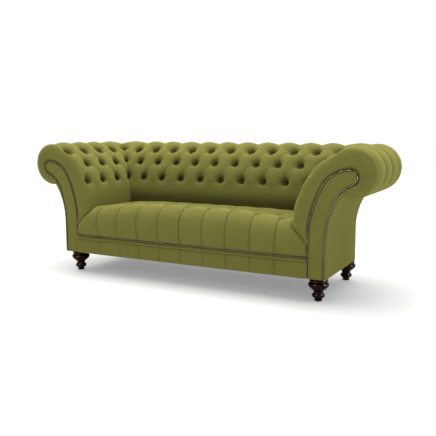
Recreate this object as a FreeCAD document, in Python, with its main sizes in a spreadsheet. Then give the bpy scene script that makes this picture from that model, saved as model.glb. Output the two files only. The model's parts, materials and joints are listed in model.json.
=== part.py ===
import FreeCAD, Part
import math
import os
import re
import Sketcher
from FreeCAD import Placement, Rotation, Vector

# A deep-buttoned roll-arm sofa. X runs along the sofa, Y from front to back, Z up from the floor.
# X is zero in the middle, and Y is zero midway between the seat's nose and the back of the roll.
# The arms and the back are one wall with one section. In that section "out" is the distance
# outwards from the base's side, so the inner face of the wall has a negative value.

os.makedirs("parts", exist_ok=True)
doc = FreeCAD.newDocument("sofa")

SIZES = [
    # the base and the plan of the wall
    ("half_width", 882, "middle of the sofa to the outside of the base"),
    ("base_depth", 652, "front of the facings to the back of the base"),
    ("corner_radius", 76, "rounding of the base's two rear corners, in plan"),
    ("foot_height", 132, "floor to the underside of the base"),
    # the wall's section
    ("wall_thick", 197, "base's side to the wall's inner face, at the belly"),
    ("belly_level", 400, "height where the inner face starts to lean outwards"),
    ("roll_out", 114, "base's side to the middle of the roll"),
    ("roll_level", 699, "height of the middle of the roll"),
    ("roll_radius", 127, "middle of the roll to its cover"),
    ("flare_level", 340, "height where the outside starts to sweep out under the roll"),
    ("tuck_drop", 87, "how far the padding's foot slopes down under the belly"),
    ("foam_depth", 90, "padding's whole depth, cover and foam"),
    ("cover_depth", 45, "depth of the quilted cover and its fibre"),
    ("cloth_gap", 0.3, "clearance between soft layers"),
    ("panel_thick", 3, "outside cover with its lining"),
    ("edge_round", 34, "rounding of the cover where it wraps the arm's front"),
    ("wrap_depth", 44, "how far back the cover fills the whole padding at the arm's front"),
    # buttoning of the arms and the back
    ("pitch", 149, "spacing of buttons and seams along the back and the seat"),
    ("arm_pitch", 153, "spacing of buttons along an arm"),
    ("arm_top_pitch", 157, "spacing of an arm's top row"),
    ("arm_first", 59, "front of the arm to its first button"),
    ("low_row", 592, "height of the lowest row of buttons"),
    ("middle_row", 697, "height of the middle row"),
    ("top_row", 779, "height of the top row"),
    ("pit_depth", 28, "how deep a button is pulled in"),
    ("pit_mouth", 42, "radius of a button's hollow at the surface"),
    ("pit_floor", 12, "radius of a button's hollow at its bottom"),
    ("pleat_depth", 9, "depth of the pleats between buttons"),
    ("pleat_half", 8, "half the width of a pleat"),
    ("flute_depth", 5, "depth of the pleats over the roll"),
    ("button_radius", 11, "covered button"),
    ("button_thick", 6, "covered button"),
    # the seat
    ("seat_nose", 29, "how far the seat's nose stands before the facings"),
    ("seat_bottom", 252, "lower edge of the seat's cover"),
    ("seat_crown", 466, "top of the seat in the middle"),
    ("seat_row_front", 80, "front of the facings to the seat's first row of buttons"),
    ("seat_row_pitch", 124, "spacing of the seat's rows, front to back"),
    ("seat_pit_depth", 10, "how deep a seat button is pulled in"),
    ("seat_pit_mouth", 30, "radius of a seat button's hollow at the surface"),
    ("seam_depth", 4, "depth of the seams down the seat's front"),
    ("seam_width", 3, "width of those seams"),
    ("seat_foam_half", 655, "half the length of the seat's foam block"),
    ("seat_foam_front", 28, "front of the facings to the foam block"),
    ("seat_foam_depth", 400, "foam block, front to back"),
    ("seat_foam_top", 398, "height of the foam block's top"),
    # the facings, the border and their trim
    ("facing_edge", 101, "base's side to the facing's inner edge"),
    ("facing_thick", 6, "facing panel"),
    ("border_thick", 6, "border panel"),
    ("border_proud", 5, "border in front of the facings"),
    ("border_top", 252, "height of the border's top edge"),
    ("border_seam", 1.5, "depth of the border's seams"),
    ("nail_radius", 5.2, "decorative nail head"),
    ("nail_rise", 3.6, "height of a nail's dome"),
    ("nail_pitch", 12, "spacing of the nails"),
    ("nail_line", 245, "height of the nails along the border"),
    ("welt_radius", 6, "piping under the nails"),
    ("welt_level", 228, "height of the piping"),
    ("welt_sink", 3, "how far the piping sits into the border"),
    # the timber frame
    ("board_thick", 25, "scroll boards at the arms' fronts"),
    ("rib_thick", 22, "boards inside the arms and the back"),
    ("rib_out", 212, "middle of the back to its two middle boards"),
    ("rib_setback", 26, "corner's middle to the board at an arm's rear"),
    ("rib_end", 740, "middle of the back to the inner face of its end boards"),
    ("rail_thick", 28, "rails of the base"),
    ("rail_tall", 103, "rails of the base"),
    ("cross_tall", 60, "cross rails under the springs"),
    ("cross_out", 300, "middle of the sofa to a cross rail"),
    ("stuffing_thick", 28, "rails that the inside covers are pulled down to"),
    ("stuffing_tall", 45, "those rails"),
    ("stuffing_level", 296, "height of those rails' undersides"),
    ("tack_thick", 24, "rails under the roll"),
    ("tack_tall", 44, "those rails"),
    ("tack_out", 30, "base's side to those rails"),
    ("tack_level", 556, "height of those rails' undersides"),
    ("top_rail", 50, "square rail inside the roll"),
    ("foot_block", 76, "block over a front foot"),
    ("foot_block_tall", 35, "that block, and the bolt's grip over a rear foot"),
    # sheets and straps behind the padding
    ("hessian_thick", 1.4, "jute cloth"),
    ("strap_thick", 2, "jute webbing"),
    ("strap_wide", 50, "jute webbing"),
    ("dust_thick", 1.2, "cloth under the base"),
    # springs
    ("spring_wire", 2, "radius of the zigzag spring's wire"),
    ("spring_leg", 26, "straight part of a zigzag"),
    ("spring_rise", 4, "rail's top to the spring's wire"),
    ("clip_wide", 20, "clip that holds a spring's end"),
    ("clip_deep", 14, "clip, front to back"),
    ("clip_tall", 8, "clip's height"),
    # feet and what holds them
    ("foot_out", 823, "middle of the sofa to a foot's axis"),
    ("foot_front", 75, "front of the facings to a front foot's axis"),
    ("foot_back", 608, "front of the facings to a rear foot's axis"),
    ("foot_pad", 21, "radius that stands on the floor"),
    ("foot_ring", 35.5, "radius of the lower ring"),
    ("foot_waist", 26, "radius of the waist"),
    ("foot_bulb", 57.5, "radius of the bulb"),
    ("foot_collar", 51, "radius of the ring over the bulb"),
    ("foot_neck", 44, "radius of the foot's top"),
    ("bolt_radius", 4, "hanger bolt"),
    ("bolt_gap", 0.2, "clearance around the bolt"),
    ("bolt_grip", 42, "bolt's length inside the foot"),
    ("bolt_end", 12, "bolt beyond the timber"),
    ("nut_radius", 12, "flanged nut on the bolt"),
    ("nut_tall", 8, "that nut"),
    ("overrun", 300, "how far cutting shapes run past the work"),
]
COUNTS = [
    ("back_side_buttons", 4, "buttons each side of the middle one, lowest row of the back"),
    ("arm_buttons", 3, "buttons in an arm's lower rows, the corner apart"),
    ("seat_side_buttons", 4, "buttons each side of the middle one, odd rows of the seat"),
    ("spring_turns", 15, "half turns of a zigzag spring"),
    ("roll_end_angle", 254, "where the roll's cover is tacked off, in degrees"),
    ("flute_end", 55, "how far below the roll's middle the flutes run, in degrees"),
]

sheet = doc.addObject("Spreadsheet::Sheet", "Sizes")
for row, (name, number, note) in enumerate(SIZES + COUNTS, start=1):
    sheet.set("A%d" % row, name)
    sheet.set("B%d" % row, str(number))
    sheet.setAlias("B%d" % row, name)
    sheet.set("C%d" % row, note)
doc.recompute()
ALIASES = {name for name, number, note in SIZES + COUNTS}


def size(name):
    """The number in the sheet's cell of that name."""
    return float(sheet.get(name))


def bound(text):
    """The same sum with its words turned into references to the sheet."""
    def named(word):
        return "Sizes." + word.group() if word.group() in ALIASES else word.group()
    return re.sub(r"[a-z_]+", named, text)


half_width = size("half_width")
base_depth = size("base_depth")
corner_radius = size("corner_radius")
base_level = size("foot_height")
frame_level = base_level + size("dust_thick")
wall_thick = size("wall_thick")
belly_level = size("belly_level")
roll_out = size("roll_out")
roll_level = size("roll_level")
roll_radius = size("roll_radius")
gap = size("cloth_gap")
pitch = size("pitch")
overrun = size("overrun")
end_angle = math.radians(size("roll_end_angle"))

front_y = size("seat_nose") - (size("seat_nose") + base_depth + roll_out + roll_radius) / 2
FRONT = "(seat_nose - (seat_nose + base_depth + roll_out + roll_radius) / 2)"
back_y = front_y + base_depth
corner_x = half_width - corner_radius
corner_y = back_y - corner_radius
X_AXIS = Vector(1, 0, 0)
Y_AXIS = Vector(0, 1, 0)
Z_AXIS = Vector(0, 0, 1)
parts = []


# Helpers for the document

def keep(thing, label):
    """Name a finished sub-part and list it for export."""
    thing.Label = label
    parts.append(thing)
    return thing


def solid(label, shape):
    """A sub-part whose shape is worked out here from the sheet's sizes."""
    feature = doc.addObject("Part::Feature", label)
    feature.Shape = shape
    feature.Placement = shape.Placement
    return keep(feature, label)


def twin(label, source):
    """The same piece on the sofa's other side."""
    other = doc.addObject("Part::Mirroring", label)
    other.Source = source
    other.Normal = X_AXIS
    return keep(other, label)


def together(label, things):
    """One sub-part made of several like pieces."""
    group = doc.addObject("Part::Compound", label)
    group.Links = things
    return keep(group, label)


def place(thing, spots):
    """Bind an object's place to sums on the sheet."""
    for axis, text in zip("xyz", spots):
        thing.setExpression("Placement.Base." + axis, bound(text))


def blank(name, sizes, spots):
    """A box whose sides and place are sums on the sheet."""
    cuboid = doc.addObject("Part::Box", name)
    for side, text in zip(("Length", "Width", "Height"), sizes):
        cuboid.setExpression(side, bound(text))
    place(cuboid, spots)
    return cuboid


def block(label, sizes, spots):
    """A rectangular piece."""
    return keep(blank(label, sizes, spots), label)


def mirrored(shape):
    """A shape reflected to the sofa's other side."""
    return shape.mirror(Vector(), X_AXIS)


def both_sides(name, shape):
    """A right-hand piece and its left-hand twin."""
    twin("left_" + name, solid("right_" + name, shape))


def joined(shapes):
    """One shape from several that meet."""
    return shapes[0].fuse(shapes[1:]).removeSplitter() if len(shapes) > 1 else shapes[0]


def carved(work, tools):
    """Cut tools out of a piece, in batches whose members stand apart from each other."""
    batches = []
    for tool in tools:
        for batch in batches:
            if not any(tool.BoundBox.intersect(other.BoundBox) for other in batch):
                batch.append(tool)
                break
        else:
            batches.append([tool])
    for batch in batches:
        for nudge in (0, gap, 2 * gap, -gap):
            lighter = work.cut([moved(tool, Z_AXIS * nudge) for tool in batch] if nudge else batch)
            if lighter.isValid() and lighter.Volume < work.Volume:
                break
        else:
            raise RuntimeError("a batch of %d tools can't be cut" % len(batch))
        work = lighter
    return work


def box(low, high):
    """A box between two corners."""
    return Part.makeBox(high.x - low.x, high.y - low.y, high.z - low.z, low)


# The wall's section

def point(out, level):
    """A point of the right arm's section, in the plane of the facings."""
    return Vector(half_width + out, front_y, level)


def belly_arc(depth):
    """Centre and radius of the inner face, as deep as asked below the cover."""
    reach = wall_thick + roll_out
    rise = roll_level - belly_level
    radius = (reach ** 2 + rise ** 2 - roll_radius ** 2) / (2 * (reach - roll_radius))
    return radius - wall_thick, belly_level, radius - depth


def crest(level):
    """Place and inward direction of the cover's surface at a height, as (out, level) pairs."""
    middle, base, radius = belly_arc(0)
    out = middle - math.sqrt(radius ** 2 - (level - base) ** 2)
    return (out, level), ((middle - out) / radius, (base - level) / radius)


def shoulder(depth):
    """Where the inner face runs into the roll."""
    middle, base, radius = belly_arc(depth)
    lean = math.atan2(roll_level - base, roll_out - middle)
    return middle + radius * math.cos(lean), base + radius * math.sin(lean)


def on_roll(depth, angle):
    """A point of the roll, by its angle from straight outwards."""
    radius = roll_radius - depth
    return roll_out + radius * math.cos(angle), roll_level + radius * math.sin(angle)


def arc(start, middle, end):
    return Part.Arc(point(*start), point(*middle), point(*end)).toShape()


def line(start, end):
    return Part.LineSegment(point(*start), point(*end)).toShape()


def tuck(depth):
    """The sloping foot of the padding."""
    return depth - wall_thick, belly_level - size("tuck_drop") * depth / size("foam_depth")


def layer_edges(depth):
    """One layer's outline, from the padding's foot up the inner face and round the roll."""
    middle, base, radius = belly_arc(depth)
    low = (depth - wall_thick, belly_level)
    top = shoulder(depth)
    half_lean = (math.pi + math.atan2(roll_level - base, roll_out - middle)) / 2
    belly = (middle + radius * math.cos(half_lean), base + radius * math.sin(half_lean))
    lean = math.atan2(top[1] - roll_level, top[0] - roll_out)
    sweep = lean - (end_angle - 2 * math.pi)
    stops = [on_roll(depth, lean - sweep * share) for share in (0.25, 0.5, 0.75, 1)]
    edges = [line(tuck(depth), low)] if depth > 0 else []
    return edges + [arc(low, belly, top), arc(top, stops[0], stops[1]), arc(stops[1], stops[2], stops[3])]


def layer_face(outer, inner):
    """The section between two depths below the cover's surface."""
    end = end_angle - 2 * math.pi
    edges = layer_edges(outer) + layer_edges(inner)
    edges.append(line(tuck(outer), tuck(inner)))
    edges.append(line(on_roll(outer, end), on_roll(inner, end)))
    return Part.Face(Part.Wire(Part.__sortEdges__(edges)))


def flare(depth, level):
    """The outside of the wall, sweeping out under the roll."""
    tip = on_roll(0, end_angle)
    rise = tip[1] - size("flare_level")
    radius = (tip[0] ** 2 + rise ** 2) / (2 * tip[0])
    if level <= size("flare_level"):
        return -depth, level
    lean = (level - size("flare_level")) / (radius + depth)
    return radius - (radius + depth) * math.sqrt(1 - lean ** 2), level


def flare_edges(depth, low, high):
    """The outside's outline between two heights."""
    start = size("flare_level")
    return [line((-depth, low), (-depth, start)),
            arc((-depth, start), flare(depth, (start + high) / 2), flare(depth, high))]


def moved(shape, offset):
    copy = shape.copy()
    copy.translate(offset)
    return copy


def turned(shape, angle):
    """Turn about the upright line through the middle of the right rear corner."""
    copy = shape.copy()
    copy.rotate(Vector(corner_x, corner_y, 0), Z_AXIS, angle)
    return copy


def prism(corners, low, high):
    """An upright prism over corners in plan."""
    base = Part.makePolygon([Vector(x, y, low) for x, y in corners + corners[:1]])
    return Part.Face(base).extrude(Vector(0, 0, high - low))


def outer_part(face):
    """What of a section lies beyond the corner's middle, with the section at the corner."""
    at_corner = moved(face, Vector(0, corner_y - front_y, 0))
    if at_corner.BoundBox.XMin >= corner_x:
        return at_corner
    low = Vector(corner_x, corner_y - overrun, 0)
    beyond = box(low, low + Vector(2 * overrun, 2 * overrun, 3 * overrun))
    return at_corner.common(beyond).Faces[0]


def arm_run(face, start=0):
    """Carry a section along the right arm and round to the mitre in the corner."""
    straight = moved(face, Vector(0, start, 0)).extrude(Vector(0, corner_y - front_y - start, 0))
    bend = outer_part(face).revolve(Vector(corner_x, corner_y, 0), Z_AXIS, 45)
    far = (corner_x - overrun, corner_y - overrun)
    behind = prism([(corner_x, corner_y), far, (corner_x - overrun, corner_y + overrun)], 0, 3 * overrun)
    return joined([straight.cut(behind), bend])


def back_run(face):
    """Carry the same section along the back, between the two mitres."""
    at_corner = moved(face, Vector(0, corner_y - front_y, 0))
    straight = turned(at_corner, 90).extrude(Vector(-corner_x, 0, 0))
    bend = turned(outer_part(face), 45).revolve(Vector(corner_x, corner_y, 0), Z_AXIS, 45)
    far = (corner_x - overrun, corner_y - overrun)
    beside = prism([(corner_x, corner_y), far, (corner_x + overrun, corner_y - overrun)], 0, 3 * overrun)
    half = joined([straight.cut(beside), bend])
    return joined([half, mirrored(half)])


# The facing's outline, from its inner edge up round the scroll's eye and down again.
# Each point is a share of the roll's middle, outwards and up from the base's underside.

INNER_EDGE_SHARES = [(-size("facing_edge") / roll_out, 0.319), (-0.711, 0.624), (-0.114, 0.919)]
BROW_SHARES = [(-0.114, 0.919), (0.360, 0.993), (0.956, 1.026)]
EYE_SHARES = [(0.956, 1.026), (1.360, 0.950), (1.184, 0.901)]
THROAT_SHARES = [(1.184, 0.901), (0.570, 0.818), (0.167, 0.663)]
OUTER_EDGE_SHARES = [(0.167, 0.663), (-0.022, 0.496), (-0.097, 0.300)]


def facing_point(share):
    out, up = share
    return point(out * roll_out, base_level + up * (roll_level - base_level))


def facing_edges():
    """The facing's edges that carry nails: all but its bottom."""
    low_in = facing_point((INNER_EDGE_SHARES[0][0], 0))
    low_out = facing_point((OUTER_EDGE_SHARES[-1][0], 0))
    edges = [Part.LineSegment(low_in, facing_point(INNER_EDGE_SHARES[0])).toShape()]
    for shares in (INNER_EDGE_SHARES, BROW_SHARES, EYE_SHARES, THROAT_SHARES, OUTER_EDGE_SHARES):
        edges.append(Part.Arc(*[facing_point(share) for share in shares]).toShape())
    edges.append(Part.LineSegment(facing_point(OUTER_EDGE_SHARES[-1]), low_out).toShape())
    return edges


def facing_face():
    edges = facing_edges()
    low_in = edges[0].Vertexes[0].Point
    low_out = edges[-1].Vertexes[-1].Point
    return Part.Face(Part.Wire(edges + [Part.LineSegment(low_out, low_in).toShape()]))


facing = facing_face()
facing_room = facing.makeOffset2D(gap)
deep = size("facing_thick") + size("board_thick")


# The scroll boards and facings

board = moved(facing, Vector(0, size("facing_thick"), 0)).extrude(Vector(0, size("board_thick"), 0))
above_dust = box(Vector(0, front_y - overrun, frame_level),
                 Vector(2 * half_width, front_y + overrun, 3 * overrun))
both_sides("scroll_board", board.common(above_dust))
both_sides("arm_facing", facing.extrude(Vector(0, size("facing_thick"), 0)))


# Buttoning: hollows at the buttons, pleats between them and flutes over the roll

class Station:
    """A place along the wall: the point on the base's side, and the outward direction."""

    def __init__(self, base, outwards, corner=False):
        self.base = base
        self.outwards = outwards
        self.corner = corner

    def place(self, out, level):
        """The point of the section at this station."""
        if self.corner and out < -corner_radius:
            return Vector(half_width + out, back_y + out, level)
        return self.base + self.outwards * out + Vector(0, 0, level)

    def inward(self, lean):
        return self.outwards * lean[0] + Z_AXIS * lean[1]


DIAGONAL = Vector(math.sqrt(0.5), math.sqrt(0.5), 0)
CORNER = Station(Vector(corner_x, corner_y, 0) + DIAGONAL * corner_radius, DIAGONAL, True)


def arm_station(along):
    return Station(Vector(half_width, front_y + along, 0), X_AXIS)


def back_station(along):
    return Station(Vector(along, back_y, 0), Y_AXIS)


class Pit:
    """A button's place on the cover's surface, with the direction that it is pulled in."""

    def __init__(self, station, level):
        spot, lean = crest(level)
        self.station = station
        self.at = station.place(*spot)
        self.inwards = station.inward(lean)


def pit_cut(at, inwards, depth, mouth):
    """The hollow that a button pulls into the padding."""
    floor = size("pit_floor")
    above = size("button_thick")
    rim = mouth + (mouth - floor) * above / depth
    return Part.makeCone(floor, rim, depth + above, at + inwards * depth, inwards * -1)


def reopened(work, pits, depth, mouth):
    """Cut again any hollow that a cut beside it has closed."""
    for pit in pits:
        for nudge in (0, gap, -gap, 2 * gap):
            floor = pit.at + pit.inwards * (depth - gap)
            if not work.isInside(floor, gap / 100, False):
                break
            again = work.cut(moved(pit_cut(pit.at, pit.inwards, depth, mouth), Z_AXIS * nudge))
            if again.isValid() and not again.isInside(floor, gap / 100, False):
                work = again
        else:
            raise RuntimeError("a button's hollow stays closed")
    return work


def pleat_cut(start, end, start_in, end_in, depth):
    """A folded pleat: a wedge whose edge runs from one button's hollow to the next."""
    run = end - start
    rings = []
    for at, inwards in ((start, start_in), (end, end_in)):
        side = run.cross(inwards).normalize() * size("pleat_half")
        lift = inwards * -size("pleat_half")
        floor = at + inwards * depth
        rings.append(Part.makePolygon([floor, at + lift + side, at + lift - side, floor]))
    return Part.makeLoft(rings, True, True)


def flute_cut(station):
    """A pleat from a top button over the roll to its outer side."""
    low = roll_radius - size("flute_depth")
    high = roll_radius + size("pleat_half")
    spot, lean = crest(size("top_row"))
    angle = math.atan2(spot[1] - roll_level, spot[0] - roll_out)
    middle = station.place(roll_out, roll_level)
    along = Z_AXIS.cross(station.outwards)
    ray = station.outwards * math.cos(angle) + Z_AXIS * math.sin(angle)
    corners = [middle + ray * low]
    corners.append(middle + ray * high + along * size("pleat_half"))
    corners.append(middle + ray * high - along * size("pleat_half"))
    wedge = Part.Face(Part.makePolygon(corners + corners[:1]))
    return wedge.revolve(middle, along * -1, -math.degrees(angle) - size("flute_end"))


def button(at, inwards, depth):
    """A covered button seated on the floor of its hollow."""
    radius = size("button_radius")
    thick = size("button_thick")
    disc = Part.makeCylinder(radius, thick, at + inwards * depth, inwards * -1)
    front = at + inwards * (depth - thick)
    crown = [edge for edge in disc.Edges if (edge.CenterOfMass - front).Length < thick / 4]
    return disc.makeFillet(thick / 2, crown[:1])


def buttoned(cover, pits, pairs, flutes):
    """Cut the hollows, the pleats and the flutes into a cover."""
    depth = size("pit_depth")
    tools = [pit_cut(pit.at, pit.inwards, depth, size("pit_mouth")) for pit in pits]
    for start, end in pairs:
        tools.append(pleat_cut(start.at, end.at, start.inwards, end.inwards, size("pleat_depth")))
    tools += [flute_cut(station) for station in flutes]
    return reopened(carved(cover, tools), pits, depth, size("pit_mouth"))


arm_count = int(size("arm_buttons"))
arm_first = size("arm_first")
arm_low = [Pit(arm_station(arm_first + k * size("arm_pitch")), size("low_row")) for k in range(arm_count)]
arm_middle = [Pit(arm_station(arm_first + (k + 0.5) * size("arm_pitch")), size("middle_row"))
              for k in range(arm_count)]
arm_top = [Pit(arm_station(arm_first + k * size("arm_top_pitch")), size("top_row"))
           for k in range(arm_count + 1)]
arm_edge = Pit(arm_station(arm_first - size("arm_pitch") / 2), size("middle_row"))
corner_low = Pit(CORNER, size("low_row"))
corner_middle = Pit(CORNER, size("middle_row"))
corner_top = Pit(CORNER, size("top_row"))

arm_pits = arm_low + arm_middle + arm_top
arm_pairs = [(arm_low[0], arm_edge), (arm_edge, arm_top[0])]
for k in range(arm_count):
    arm_pairs += [(arm_low[k], arm_middle[k]), (arm_middle[k], arm_top[k]), (arm_middle[k], arm_top[k + 1])]
    arm_pairs.append(((arm_low + [corner_low])[k + 1], arm_middle[k]))
corner_pits = [corner_low, corner_middle, corner_top]
corner_pairs = [(corner_low, corner_middle), (corner_middle, corner_top)]

side = int(size("back_side_buttons"))
back_low = [Pit(back_station(k * pitch), size("low_row")) for k in range(-side, side + 1)]
back_middle = [Pit(back_station((k + 0.5) * pitch), size("middle_row")) for k in range(-side - 1, side + 1)]
back_top = [Pit(back_station(k * pitch), size("top_row")) for k in range(-side - 1, side + 2)]
back_pits = back_low + back_middle + back_top
back_pairs = []
for k, pit in enumerate(back_middle):
    back_pairs += [(pit, back_top[k]), (pit, back_top[k + 1])]
    if 0 < k < len(back_middle) - 1:
        back_pairs += [(back_low[k - 1], pit), (back_low[k], pit)]
back_pairs += [(back_low[0], back_middle[0]), (back_low[-1], back_middle[-1])]


class MirroredPit:
    """A corner button on the left."""

    def __init__(self, pit):
        self.at = Vector(-pit.at.x, pit.at.y, pit.at.z)
        self.inwards = Vector(-pit.inwards.x, pit.inwards.y, pit.inwards.z)


corner_bend_pairs = corner_pairs + [(corner_low, back_middle[-1]), (corner_middle, back_top[-1])]
left_bend_pairs = [(MirroredPit(corner_low), MirroredPit(corner_middle))]
left_bend_pairs.append((MirroredPit(corner_middle), MirroredPit(corner_top)))
left_bend_pairs += [(MirroredPit(corner_low), back_middle[0]), (MirroredPit(corner_middle), back_top[0])]


# The arms' and the back's padding

cover_face = layer_face(0, size("cover_depth"))
foam_face = layer_face(size("cover_depth") + gap, size("foam_depth"))
hessian_depth = size("foam_depth") + gap
strap_depth = hessian_depth + size("hessian_thick") + gap

front_edges = layer_edges(0)
roll_end = on_roll(0, end_angle)
chin = tuck(wall_thick - size("facing_edge"))
roll_middle = (roll_out, roll_level)
front_edges += [line(roll_end, roll_middle), line(roll_middle, chin), line(chin, tuck(0))]
front_face = Part.Face(Part.Wire(Part.__sortEdges__(front_edges)))
wrap = size("wrap_depth")
wrap_block = layer_face(0, size("foam_depth")).extrude(Vector(0, wrap, 0))
arm_cover = joined([front_face.extrude(Vector(0, deep, 0)), wrap_block, arm_run(cover_face, wrap)])
rounded = []
for edge in arm_cover.Edges:
    flat = abs(edge.BoundBox.YMax - front_y) < gap and edge.BoundBox.YLength < gap
    if flat and edge.Curve.TypeId == "Part::GeomCircle":
        rounded.append(edge)
arm_cover = arm_cover.makeFillet(size("edge_round"), rounded)
facing_hole = moved(facing_room, Vector(0, -overrun, 0)).extrude(Vector(0, overrun + deep + gap, 0))
arm_cover = arm_cover.cut(facing_hole)
arm_pleats = arm_pairs + corner_pairs + [(corner_middle, arm_top[-1])]
arm_flutes = [pit.station for pit in arm_top] + [CORNER]
arm_cover = buttoned(arm_cover, arm_pits + corner_pits, arm_pleats, arm_flutes)
both_sides("arm_inside_cover", arm_cover)
left_corner_pits = [MirroredPit(pit) for pit in corner_pits]
back_pleats = back_pairs + corner_bend_pairs + left_bend_pairs
back_cover = buttoned(back_run(cover_face), back_pits + corner_pits + left_corner_pits, back_pleats,
                      [pit.station for pit in back_top] + [CORNER])
solid("back_inside_cover", back_cover.cut(mirrored(flute_cut(CORNER))))
both_sides("arm_foam", arm_run(foam_face, wrap + gap))
solid("back_foam", back_run(foam_face))


def strip_face(depth, thick):
    """A thin sheet behind the foam, from the stuffing rail up to the roll."""
    middle, base, radius = belly_arc(depth)
    low = tuck(size("foam_depth"))[1]
    lean = math.atan2(roll_level - base, roll_out - middle)
    edges = []
    ends = []
    for d in (depth, depth + thick):
        middle, base, radius = belly_arc(d)
        start = (d - wall_thick, belly_level)
        half = (math.pi + lean) / 2
        mid = (middle + radius * math.cos(half), base + radius * math.sin(half))
        top = (middle + radius * math.cos(lean), base + radius * math.sin(lean))
        edges += [line((d - wall_thick, low), start), arc(start, mid, top)]
        ends.append(((d - wall_thick, low), top))
    edges += [line(ends[0][0], ends[1][0]), line(ends[0][1], ends[1][1])]
    return Part.Face(Part.Wire(Part.__sortEdges__(edges)))


hessian_face = strip_face(hessian_depth, size("hessian_thick"))
both_sides("arm_hessian", arm_run(hessian_face, deep))
solid("back_hessian", back_run(hessian_face))


# The outside covers: thin panels that wrap the arms' front edges

def outside_face(inner):
    """The outside panel's section, from the base's underside to the roll."""
    top = flare(0, roll_end[1] - gap)
    inner_top = flare(inner, roll_end[1] - gap + inner / 2)
    edges = flare_edges(0, base_level, top[1]) + flare_edges(inner, base_level, inner_top[1])
    edges += [line((0, base_level), (-inner, base_level)), line(top, inner_top)]
    return Part.Face(Part.Wire(Part.__sortEdges__(edges)))


panel_face = outside_face(size("panel_thick"))
lip = outside_face(size("panel_thick") * 4).extrude(Vector(0, size("facing_thick"), 0)).cut(facing_hole)
lip = lip.cut(moved(facing_room, Vector(0, -overrun, 0)).extrude(Vector(0, 2 * overrun, 0)))
lip = lip.common(box(Vector(half_width - size("panel_thick") * 8, front_y - overrun, 0),
                     Vector(half_width + overrun, front_y + overrun, roll_end[1])))
both_sides("arm_outside_cover", joined([lip, arm_run(panel_face, 0)]))
solid("back_outside_cover", back_run(panel_face))


# Timber and sheets that are plain blocks, with their sizes and places as sums on the sheet

BOARDS = "(facing_thick + board_thick)"
TRIM = "(border_thick - border_proud)"
BACK = FRONT + " + base_depth"
FRAME = "foot_height + dust_thick"
RAIL_TOP = FRAME + " + rail_tall"
CORNER_X = "(half_width - corner_radius)"
CORNER_Y = "(" + BACK + " - corner_radius)"
SEAT_HALF = "(half_width - facing_edge - nail_radius - cloth_gap)"
HOLLOW = "(foam_depth + 3 * cloth_gap + hessian_thick + strap_thick)"
REAR_BOARD = "(" + CORNER_Y + " - rib_setback - rib_thick)"


def blanks(name, sizes, spots):
    """A right-hand box, by the place of its inner corner, and its left-hand twin."""
    left = "-(%s) - (%s)" % (spots[0], sizes[0])
    return [blank("right_" + name, sizes, spots), blank("left_" + name, sizes, (left,) + spots[1:])]


def block_pair(name, sizes, spots):
    for hand, thing in zip(("right_", "left_"), blanks(name, sizes, spots)):
        keep(thing, hand + name)


base_front_rail = block("base_front_rail", ("2 * (half_width - facing_edge)", "rail_thick", "rail_tall"),
                        ("-(half_width - facing_edge)", FRONT + " + " + TRIM, FRAME))
base_back_rail = block("base_back_rail", ("2 * " + CORNER_X, "rail_thick", "rail_tall"),
                       ("-" + CORNER_X, BACK + " - panel_thick - rail_thick", FRAME))
block_pair("base_side_rail", ("rail_thick", "base_depth - corner_radius - " + BOARDS, "rail_tall"),
           ("half_width - panel_thick - rail_thick", FRONT + " + " + BOARDS, FRAME))
cross_long = "base_depth - panel_thick - 2 * rail_thick - " + TRIM
together("base_cross_rails", blanks("cross_rail", ("rail_thick", cross_long, "cross_tall"),
                                    ("cross_out", FRONT + " + " + TRIM + " + rail_thick", FRAME)))
block_pair("arm_stuffing_rail",
           ("stuffing_thick", REAR_BOARD + " - " + FRONT + " - " + BOARDS, "stuffing_tall"),
           ("half_width - wall_thick + " + HOLLOW, FRONT + " + " + BOARDS, "stuffing_level"))
block_pair("arm_tack_rail", ("tack_thick", REAR_BOARD + " - " + FRONT + " - " + BOARDS, "tack_tall"),
           ("half_width + tack_out", FRONT + " + " + BOARDS, "tack_level"))
block_pair("arm_top_rail", ("top_rail", CORNER_Y + " - " + FRONT + " - " + BOARDS, "top_rail"),
           ("half_width + roll_out - top_rail / 2", FRONT + " + " + BOARDS, "roll_level - top_rail / 2"))
back_stuffing_rail = block("back_stuffing_rail", ("2 * rib_end", "stuffing_thick", "stuffing_tall"),
                           ("-rib_end", BACK + " - wall_thick + " + HOLLOW, "stuffing_level"))
back_tack_rail = block("back_tack_rail", ("2 * rib_end", "tack_thick", "tack_tall"),
                       ("-rib_end", BACK + " + tack_out", "tack_level"))
block("back_top_rail", ("2 * " + CORNER_X, "top_rail", "top_rail"),
      ("-" + CORNER_X, BACK + " + roll_out - top_rail / 2", "roll_level - top_rail / 2"))
block("seat_hessian", ("2 * " + SEAT_HALF, "base_depth - wall_thick + foam_depth - " + TRIM, "hessian_thick"),
      ("-" + SEAT_HALF, FRONT + " + " + TRIM, RAIL_TOP + " + clip_tall + cloth_gap"))
seat_foam = block("seat_foam", ("2 * seat_foam_half", "seat_foam_depth",
                                "seat_foam_top - (" + RAIL_TOP + ") - clip_tall - 2 * cloth_gap "
                                "- hessian_thick"),
                  ("-seat_foam_half", FRONT + " + seat_foam_front",
                   RAIL_TOP + " + clip_tall + 2 * cloth_gap + hessian_thick"))


# Round timber: the top rail's curved corners, and the base's rear corner blocks

def quarter(name, radius, height, level, angle, sign):
    """A quarter disc about the middle of a rear corner."""
    disc = doc.addObject("Part::Cylinder", name)
    disc.setExpression("Radius", bound(radius))
    disc.setExpression("Height", bound(height))
    disc.Angle = 90
    disc.Placement = Placement(Vector(), Rotation(Z_AXIS, angle))
    place(disc, (sign + CORNER_X, CORNER_Y, level))
    return disc


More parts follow.
